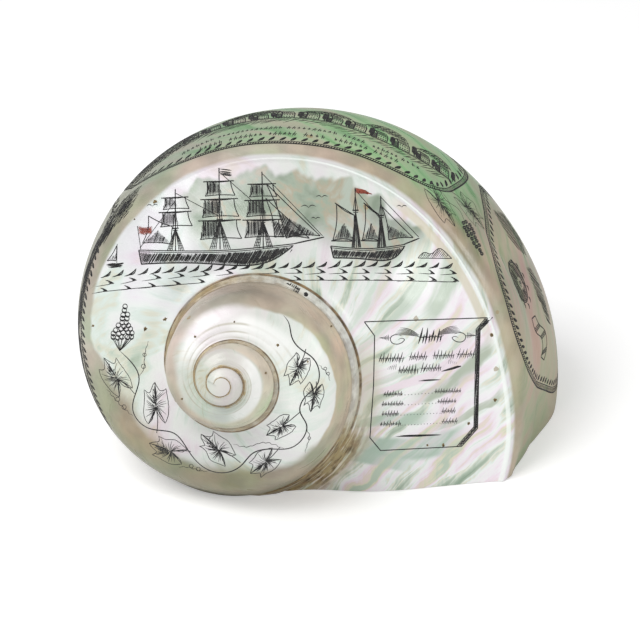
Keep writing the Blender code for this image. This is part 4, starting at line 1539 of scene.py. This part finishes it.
LAUREL_LEAF = [
    curve([(-0.5, 0.1), (0.1, 0.75), (1.1, 1.9)], 0.95, 0.5, 0.4),
    curve([(-0.5, 0.1), (0.6, 0.7), (1.2, 1.8)], 0.6, 0.5, 0.4),
]
ROPE_TWIST = [curve([(-0.35, -0.5), (0.0, 0.1), (0.35, 0.5)], 0.36, step=0.4)]
LONG_OVAL = [
    (-0.610, 8.2), (-0.600, 7.2), (-0.585, 6.35), (-0.571, 5.92), (-0.548, 5.50), (-0.527, 5.36),
    (-0.495, 5.28), (-0.459, 5.24), (-0.423, 5.33), (-0.395, 5.42), (-0.372, 5.75), (-0.358, 6.48),
    (-0.352, 7.65), (-0.351, 8.92), (-0.356, 9.9), (-0.375, 10.7), (-0.42, 11.2), (-0.50, 11.2),
    (-0.57, 10.8), (-0.60, 9.8), (-0.611, 9.0), (-0.610, 8.2),
]
RIGHT_OVAL = [
    (-0.343, 9.6), (-0.338, 8.86), (-0.319, 7.22), (-0.299, 6.08), (-0.277, 5.55), (-0.255, 5.42),
    (-0.228, 6.13), (-0.214, 7.61), (-0.209, 9.0), (-0.218, 10.3), (-0.25, 11.1), (-0.30, 11.1),
    (-0.334, 10.5), (-0.343, 9.6),
]
LEFT_OVAL = [
    (-0.625, 7.4), (-0.640, 6.2), (-0.665, 5.55), (-0.70, 5.42), (-0.75, 5.30), (-0.80, 5.6), (-0.83, 6.6),
    (-0.84, 8.0), (-0.82, 9.4), (-0.76, 10.4), (-0.69, 10.5), (-0.64, 9.6), (-0.625, 8.4), (-0.625, 7.4),
]
for name, oval, seed in (
    ("long_oval", LONG_OVAL, 31), ("right_oval", RIGHT_OVAL, 33), ("left_oval", LEFT_OVAL, 35),
):
    line = around(oval, 300 if name == "long_oval" else 200)
    inner = aside(line, 0.15)
    size, spacing = (1.45, 4.0) if name == "long_oval" else (1.25, 2.9)
    engrave(name + "_lines_engraving", [pen(line, 0.6), pen(inner, 0.36)], on_band)
    engrave_row(name + "_rope_engraving", ROPE_TWIST, [aside(line, 0.075)], 1.0, seed, on_band, 1.1, 0.08)
    engrave_row(
        name + "_laurel_engraving", LAUREL_LEAF, [aside(line, 0.19)], spacing, seed + 1, on_band, size,
    )


HOUSE = [  # a house with a shaded gable, a roof and two rows of windows, and a tall tree beside it
    ruled([(-3.9, 0.2), (-3.9, 4.4), (-2.9, 6.8), (-1.9, 4.4), (-1.9, 0.2)], 0.42),
    ruled([(-2.9, 6.8), (1.4, 6.8), (2.2, 4.4), (-1.9, 4.4)], 0.42),
    ruled([(2.2, 4.4), (2.2, 0.2), (-3.9, 0.2)], 0.42),
    *(ruled([(-3.55 + 0.43 * k, 0.4), (-3.55 + 0.43 * k, 4.6)], 0.36) for k in range(4)),
    *(
        ruled([(-1.2 + 0.9 * k, row), (-1.2 + 0.9 * k, row + 0.8)], 0.5)
        for k in range(4) for row in (0.9, 2.8)
    ),
    *(ruled([(-2.4 + 0.62 * k, 6.6), (-1.7 + 0.62 * k, 4.6)], 0.36) for k in range(6)),
    ruled([(4.2, 0.2), (4.2, 1.6)], 0.5),
    *(
        ruled([(3.0 + 0.4 * k, 4.2 + reach * (k * (6 - k)) ** 0.5) for reach in (-0.95, 1.0)], 0.4)
        for k in range(1, 6)
    ),
]
GROUND_LINE = [curve([(-2.6, -3.4), (-0.6, -1.9), (1.4, 0.0)], 0.34, 0.4, 0.8)]


def close_hatch(chance, rim, angle, gap, width, loose=0.3):
    """Close hatching of an area given in (turn, outline share)."""
    lines = hatched(np.array(rim) * HATCH_SCALE, angle, gap, width, chance, loose, 0.1)
    return [(line / HATCH_SCALE, line_width) for line, line_width in lines]


def street():
    """The line that the houses stand on, wooded hills behind them in close shading, and the dark far end."""
    chance = np.random.default_rng(40)
    base = around(
        [(-0.598, 8.3), (-0.54, 7.95), (-0.49, 7.95), (-0.451, 7.82), (-0.41, 7.5), (-0.36, 7.72)], 200,
    )
    strokes = [pen(base, 0.4), pen(aside(base, -0.05), 0.3)]
    for start, end, height in (
        (-0.585, -0.535, 0.55), (-0.528, -0.478, 0.72), (-0.470, -0.432, 0.5), (-0.426, -0.394, 0.68),
        (-0.389, -0.362, 0.45),
    ):
        turns = np.linspace(start, end, 9)
        foot = np.interp(turns, base[:, 0], base[:, 1]) + 0.70
        ridge = np.stack([turns, foot + height * np.sin(np.linspace(0, pi, 9)) ** 0.7], 1)
        floor = [(end, foot[-1]), (start, foot[0])]
        strokes.append(pen(ridge, 0.34))
        strokes += close_hatch(chance, np.concatenate([ridge, floor]), radians(68), 0.75, 0.42, 0.1)
        strokes += close_hatch(chance, np.concatenate([ridge, floor]), radians(20), 1.3, 0.36, 0.4)
    # Away from the light the far end is all in shade.
    far_end = [
        (-0.606, 7.7), (-0.59, 7.15), (-0.56, 7.45), (-0.535, 7.85), (-0.535, 8.9), (-0.57, 9.5),
        (-0.60, 9.4),
    ]
    strokes += close_hatch(chance, far_end, radians(4), 1.5, 0.6, 3.0)
    return strokes + close_hatch(chance, far_end, radians(70), 1.7, 0.5, 1.2)


engrave("street_engraving", street(), on_band)
engrave_row(
    "houses_engraving", HOUSE,
    [around([(-0.545, 7.95), (-0.49, 7.95), (-0.451, 7.82), (-0.41, 7.5), (-0.364, 7.70)])], 9.2, 41,
    on_band, unevenness=0.1,
)
engrave_row(
    "ground_engraving", GROUND_LINE,
    [around([(-0.588, 8.15), (-0.54, 7.88), (-0.49, 7.88), (-0.451, 7.75), (-0.41, 7.43), (-0.365, 7.6)])],
    1.25, 43, on_band, unevenness=0.3,
)
engrave_row(
    "band_rows_engraving", widened(SHORT_STROKE, (1.5, 2.1), 1.6),
    [
        around([(start, share), (end, share_end)], 20)
        for start, end, share, share_end in (
            (-0.550, -0.528, 6.6, 6.85), (-0.522, -0.478, 6.88, 6.85), (-0.472, -0.440, 6.84, 6.8),
            (-0.433, -0.420, 6.75, 6.7), (-0.412, -0.396, 6.62, 6.7), (-0.391, -0.380, 6.72, 6.85),
            (-0.535, -0.520, 6.05, 6.12), (-0.512, -0.490, 6.12, 6.12), (-0.483, -0.466, 6.12, 6.1),
            (-0.458, -0.446, 6.1, 6.1), (-0.437, -0.416, 6.12, 6.18), (-0.409, -0.394, 6.2, 6.28),
        )
    ],
    1.75, 45, on_band, unevenness=0.3,
)


def dark_bunch(chance, tip, heart, rows):
    """A bunch of small dark grapes from its heart to its tip."""
    tip, heart = np.array(tip, float), np.array(heart, float)
    side = (tip - heart)[::-1] * (-1, 1) / np.linalg.norm(tip - heart)
    strokes = []
    for k, count in enumerate(rows):
        for i in range(count):
            along = heart + (tip - heart) * k / (len(rows) - 1)
            centre = along + side * (i - (count - 1) / 2) * 1.3 + chance.normal(0, 0.1, 2)
            strokes += [pen(centre + round_line(radius, radius, 9), 0.36) for radius in (0.62, 0.3)]
    return strokes


def end_leaves():
    """The leaves and grapes that hang from the end of the long oval, drawn on the sheet as they are seen."""
    chance = np.random.default_rng(50)
    strokes = []
    for leaf_tip, heart, stem in (
        ((82.8, 55.6), (77.4, 64.6), (73.4, 69.6)), ((95.0, 55.5), (89.0, 63.2), (82.6, 69.2)),
    ):
        strokes += ivy_leaf(chance, leaf_tip, heart, 0.62)
        leaf_tip, heart, stem = np.array(leaf_tip), np.array(heart), np.array(stem)
        aim = (leaf_tip - heart) / np.linalg.norm(leaf_tip - heart)
        side = 1.1 * aim[::-1] * (-1, 1)
        blade = heart + np.array([-2.2 * aim, 2.6 * aim + side, 7.0 * aim, 2.6 * aim - side])
        strokes += hatched(blade, radians(-75), 0.5, 0.26, chance, 0.2, 0.4)
        strokes.append(curve([heart, (heart + stem) / 2 + (0.6, 0.5), stem], 0.26, step=0.8))
    strokes.append(curve([(86.6, 58.2), (84.6, 62.4), (80.4, 65.0), (78.0, 69.4)], 0.26, step=0.8))
    return strokes + dark_bunch(chance, (92.6, 46.0), (86.8, 57.4), (2, 3, 3, 3, 2, 2, 2, 1, 1))


engrave("end_leaves_engraving", end_leaves())


def outside_of(strokes, centre, radius):
    """The parts of strokes outside a circle."""
    kept = []
    for points, width in strokes:
        clear = np.hypot(*(points - centre).T) > radius
        cuts = np.flatnonzero(np.diff(clear)) + 1
        for part, part_width, whole in zip(
            np.split(points, cuts), np.split(width, cuts), np.split(clear, cuts),
        ):
            if whole[0] and len(part) > 1:
                kept.append((part, part_width))
    return kept


def medallion():
    """A dark medallion with a paler ring in it, inside a row of small leaves, and a ribbon under it."""
    chance = np.random.default_rng(60)
    middle = np.array([-0.5, 10.6])
    strokes = hatched(middle + round_line(7.8, 4.6, 40), radians(20), 0.6, 0.42, chance, 0.2, 0.1)
    ring = middle + (1.0, 0.6)
    strokes = outside_of(strokes, ring, 1.9)
    strokes += hatched(ring + round_line(1.5, 1.5, 40), radians(80), 0.5, 0.3, chance, 0.1, 0.1)
    strokes += [pen(middle + size * round_line(8.3, 5.1, 40), 0.42) for size in (1.0, 0.93)]
    top = smooth([(15, 14.5), (19.5, 16.6), (24.0, 21.0), (29.0, 20.0), (32.5, 15.0)], 0.8)
    low = smooth([(14.5, 10.5), (20.5, 11.5), (25.0, 16.0), (28.0, 15.4), (30.0, 12.0)], 0.8)
    strokes += [pen(top, 0.45), pen(low, 0.45), ruled([top[0], low[0]], 0.5), ruled([top[-1], low[-1]], 0.5)]
    for k in range(min(len(top), len(low))):
        if k % 8 > 4:
            strokes.append(ruled([low[k], top[k]], 0.4))
    for k in range(11):
        heart = middle + (8.9 * cos(0.57 * k), 5.8 * sin(0.57 * k))
        strokes.append(curve([heart, heart + (1.2, 0.9), heart + (2.6, 0.4)], 0.8, 0.5, 0.5))
    return strokes


engrave("medallion_engraving", medallion(), on_patch(-0.278, 6.55))


def silhouette_shading():
    """Foliage seen nearly edge on at both sides: dark masses on the right, a lobe and leaves on the left."""
    chance = np.random.default_rng(70)
    near_mass = [(-0.327, 8.7), (-0.322, 9.7), (-0.30, 9.9), (-0.289, 9.3), (-0.296, 8.75), (-0.31, 8.45)]
    far_mass = [(-0.286, 8.5), (-0.268, 8.45), (-0.250, 8.75), (-0.247, 9.2), (-0.268, 9.3), (-0.286, 9.0)]
    lobe = [
        (-0.586, 6.0), (-0.590, 5.45), (-0.600, 4.95), (-0.613, 4.85), (-0.628, 5.05), (-0.640, 5.5),
        (-0.642, 6.3), (-0.61, 6.9),
    ]
    lobe_tip = [(-0.596, 5.6), (-0.603, 5.25), (-0.614, 5.2), (-0.62, 5.6), (-0.61, 6.1)]
    strokes = []
    for rim, *hatching in (
        (near_mass, 0.4, 0.8, 0.46, 0.9), (far_mass, 0.9, 0.7, 0.45, 0.5), (lobe, 0.05, 1.2, 0.40, 2.4),
        (lobe, 0.75, 2.2, 0.3, 1.4), (lobe_tip, 0.4, 0.8, 0.45, 0.8),
    ):
        strokes += close_hatch(chance, rim, *hatching)
    for _ in range(420):
        turn = chance.uniform(-0.825, -0.63)
        low = np.interp(turn, (-0.825, -0.78, -0.70, -0.66, -0.645, -0.63), (6.2, 5.6, 5.45, 5.55, 5.15, 5.1))
        share = low + chance.uniform(0.0, 0.9)
        length = chance.uniform(0.006, 0.016)
        bend = chance.uniform(-0.06, 0.06)
        line = np.stack(
            [np.linspace(turn, turn + length, 7), share + bend * np.sin(np.linspace(0, pi, 7))], 1,
        )
        strokes.append(pen(line, chance.uniform(0.4, 0.8), 0.4))
    return strokes


engrave("silhouette_engraving", silhouette_shading(), on_band)


# ---------------------------------------------------------------------------------------------------------
# Camera, floor and light: a product view from a little above, on a plain pale floor in soft studio light.

VIEW_LIFT = radians(30.0)
LENS = 140.6  # in millimetres, on a sensor 36 wide
CAMERA_DISTANCE = 0.8375  # from the tip of the spire
AIM_RIGHT = 0.0325  # the camera looks this far to the right of the tip
AIM_UP = 0.0223  # and this far above it in the view
FLOOR_SIZE = 8.0
FLOOR_DROP = 0.0002  # how far the paper lies under the shell's ground rim
FLOOR_GLOW = 0.32
ROOM_LIGHT = 0.42
SOFTBOXES = (  # name, place, size, power
    ("window", (-0.75, -0.45, 1.25), 0.9, 17.0),
    ("side light", (0.95, -0.75, 0.55), 0.35, 4.0),
)
SOFTBOX_AIM = Vector((0.0, 0.0, 0.05))
TOWARDS_CAMERA = np.array([0.0, -cos(VIEW_LIFT), sin(VIEW_LIFT)])
UP_THE_VIEW = np.array([0.0, sin(VIEW_LIFT), cos(VIEW_LIFT)])


def build_camera():
    """A long lens that looks down on the spire."""
    camera = bpy.data.objects.new("camera", bpy.data.cameras.new("camera"))
    bpy.context.scene.collection.objects.link(camera)
    camera.data.lens = LENS
    camera.data.sensor_width = 36.0
    camera.data.clip_start = 0.05
    stand = spire_tip + CAMERA_DISTANCE * TOWARDS_CAMERA
    aim = spire_tip + np.array([AIM_RIGHT, 0.0, 0.0]) + AIM_UP * UP_THE_VIEW
    camera.location = stand
    camera.rotation_euler = Vector(aim - stand).to_track_quat("-Z", "Y").to_euler()
    bpy.context.scene.camera = camera


def build_floor():
    """White paper under the shell."""
    bpy.ops.mesh.primitive_plane_add(size=FLOOR_SIZE, location=(0.0, 0.0, -FLOOR_DROP))
    floor = bpy.context.object
    floor.name = "floor"
    paper = bpy.data.materials.new("white paper")
    paper.use_nodes = True
    finish = paper.node_tree.nodes["Principled BSDF"]
    finish.inputs["Base Color"].default_value = (0.82, 0.82, 0.82, 1.0)
    finish.inputs["Roughness"].default_value = 0.9
    # The paper looks a little brighter than the light that it throws back onto the shell.
    finish.inputs["Emission Color"].default_value = (1.0, 1.0, 1.0, 1.0)
    seen = node(paper.node_tree, "ShaderNodeLightPath").outputs["Is Camera Ray"]
    glow = product(seen, FLOOR_GLOW)
    paper.node_tree.links.new(glow, finish.inputs["Emission Strength"])
    floor.data.materials.append(paper)


def build_light():
    """Even white light from all round, and two softboxes."""
    world = bpy.data.worlds.new("studio")
    world.use_nodes = True
    world.node_tree.nodes["Background"].inputs["Color"].default_value = (1.0, 1.0, 1.0, 1.0)
    world.node_tree.nodes["Background"].inputs["Strength"].default_value = ROOM_LIGHT
    bpy.context.scene.world = world
    for name, spot, size, power in SOFTBOXES:
        light = bpy.data.lights.new(name, "AREA")
        light.size = size
        light.energy = power
        lamp = bpy.data.objects.new(name, light)
        lamp.location = spot
        lamp.rotation_euler = (SOFTBOX_AIM - Vector(spot)).to_track_quat("-Z", "Y").to_euler()
        bpy.context.scene.collection.objects.link(lamp)


build_camera()
build_floor()
build_light()
bpy.context.scene.view_settings.view_transform = "Standard"
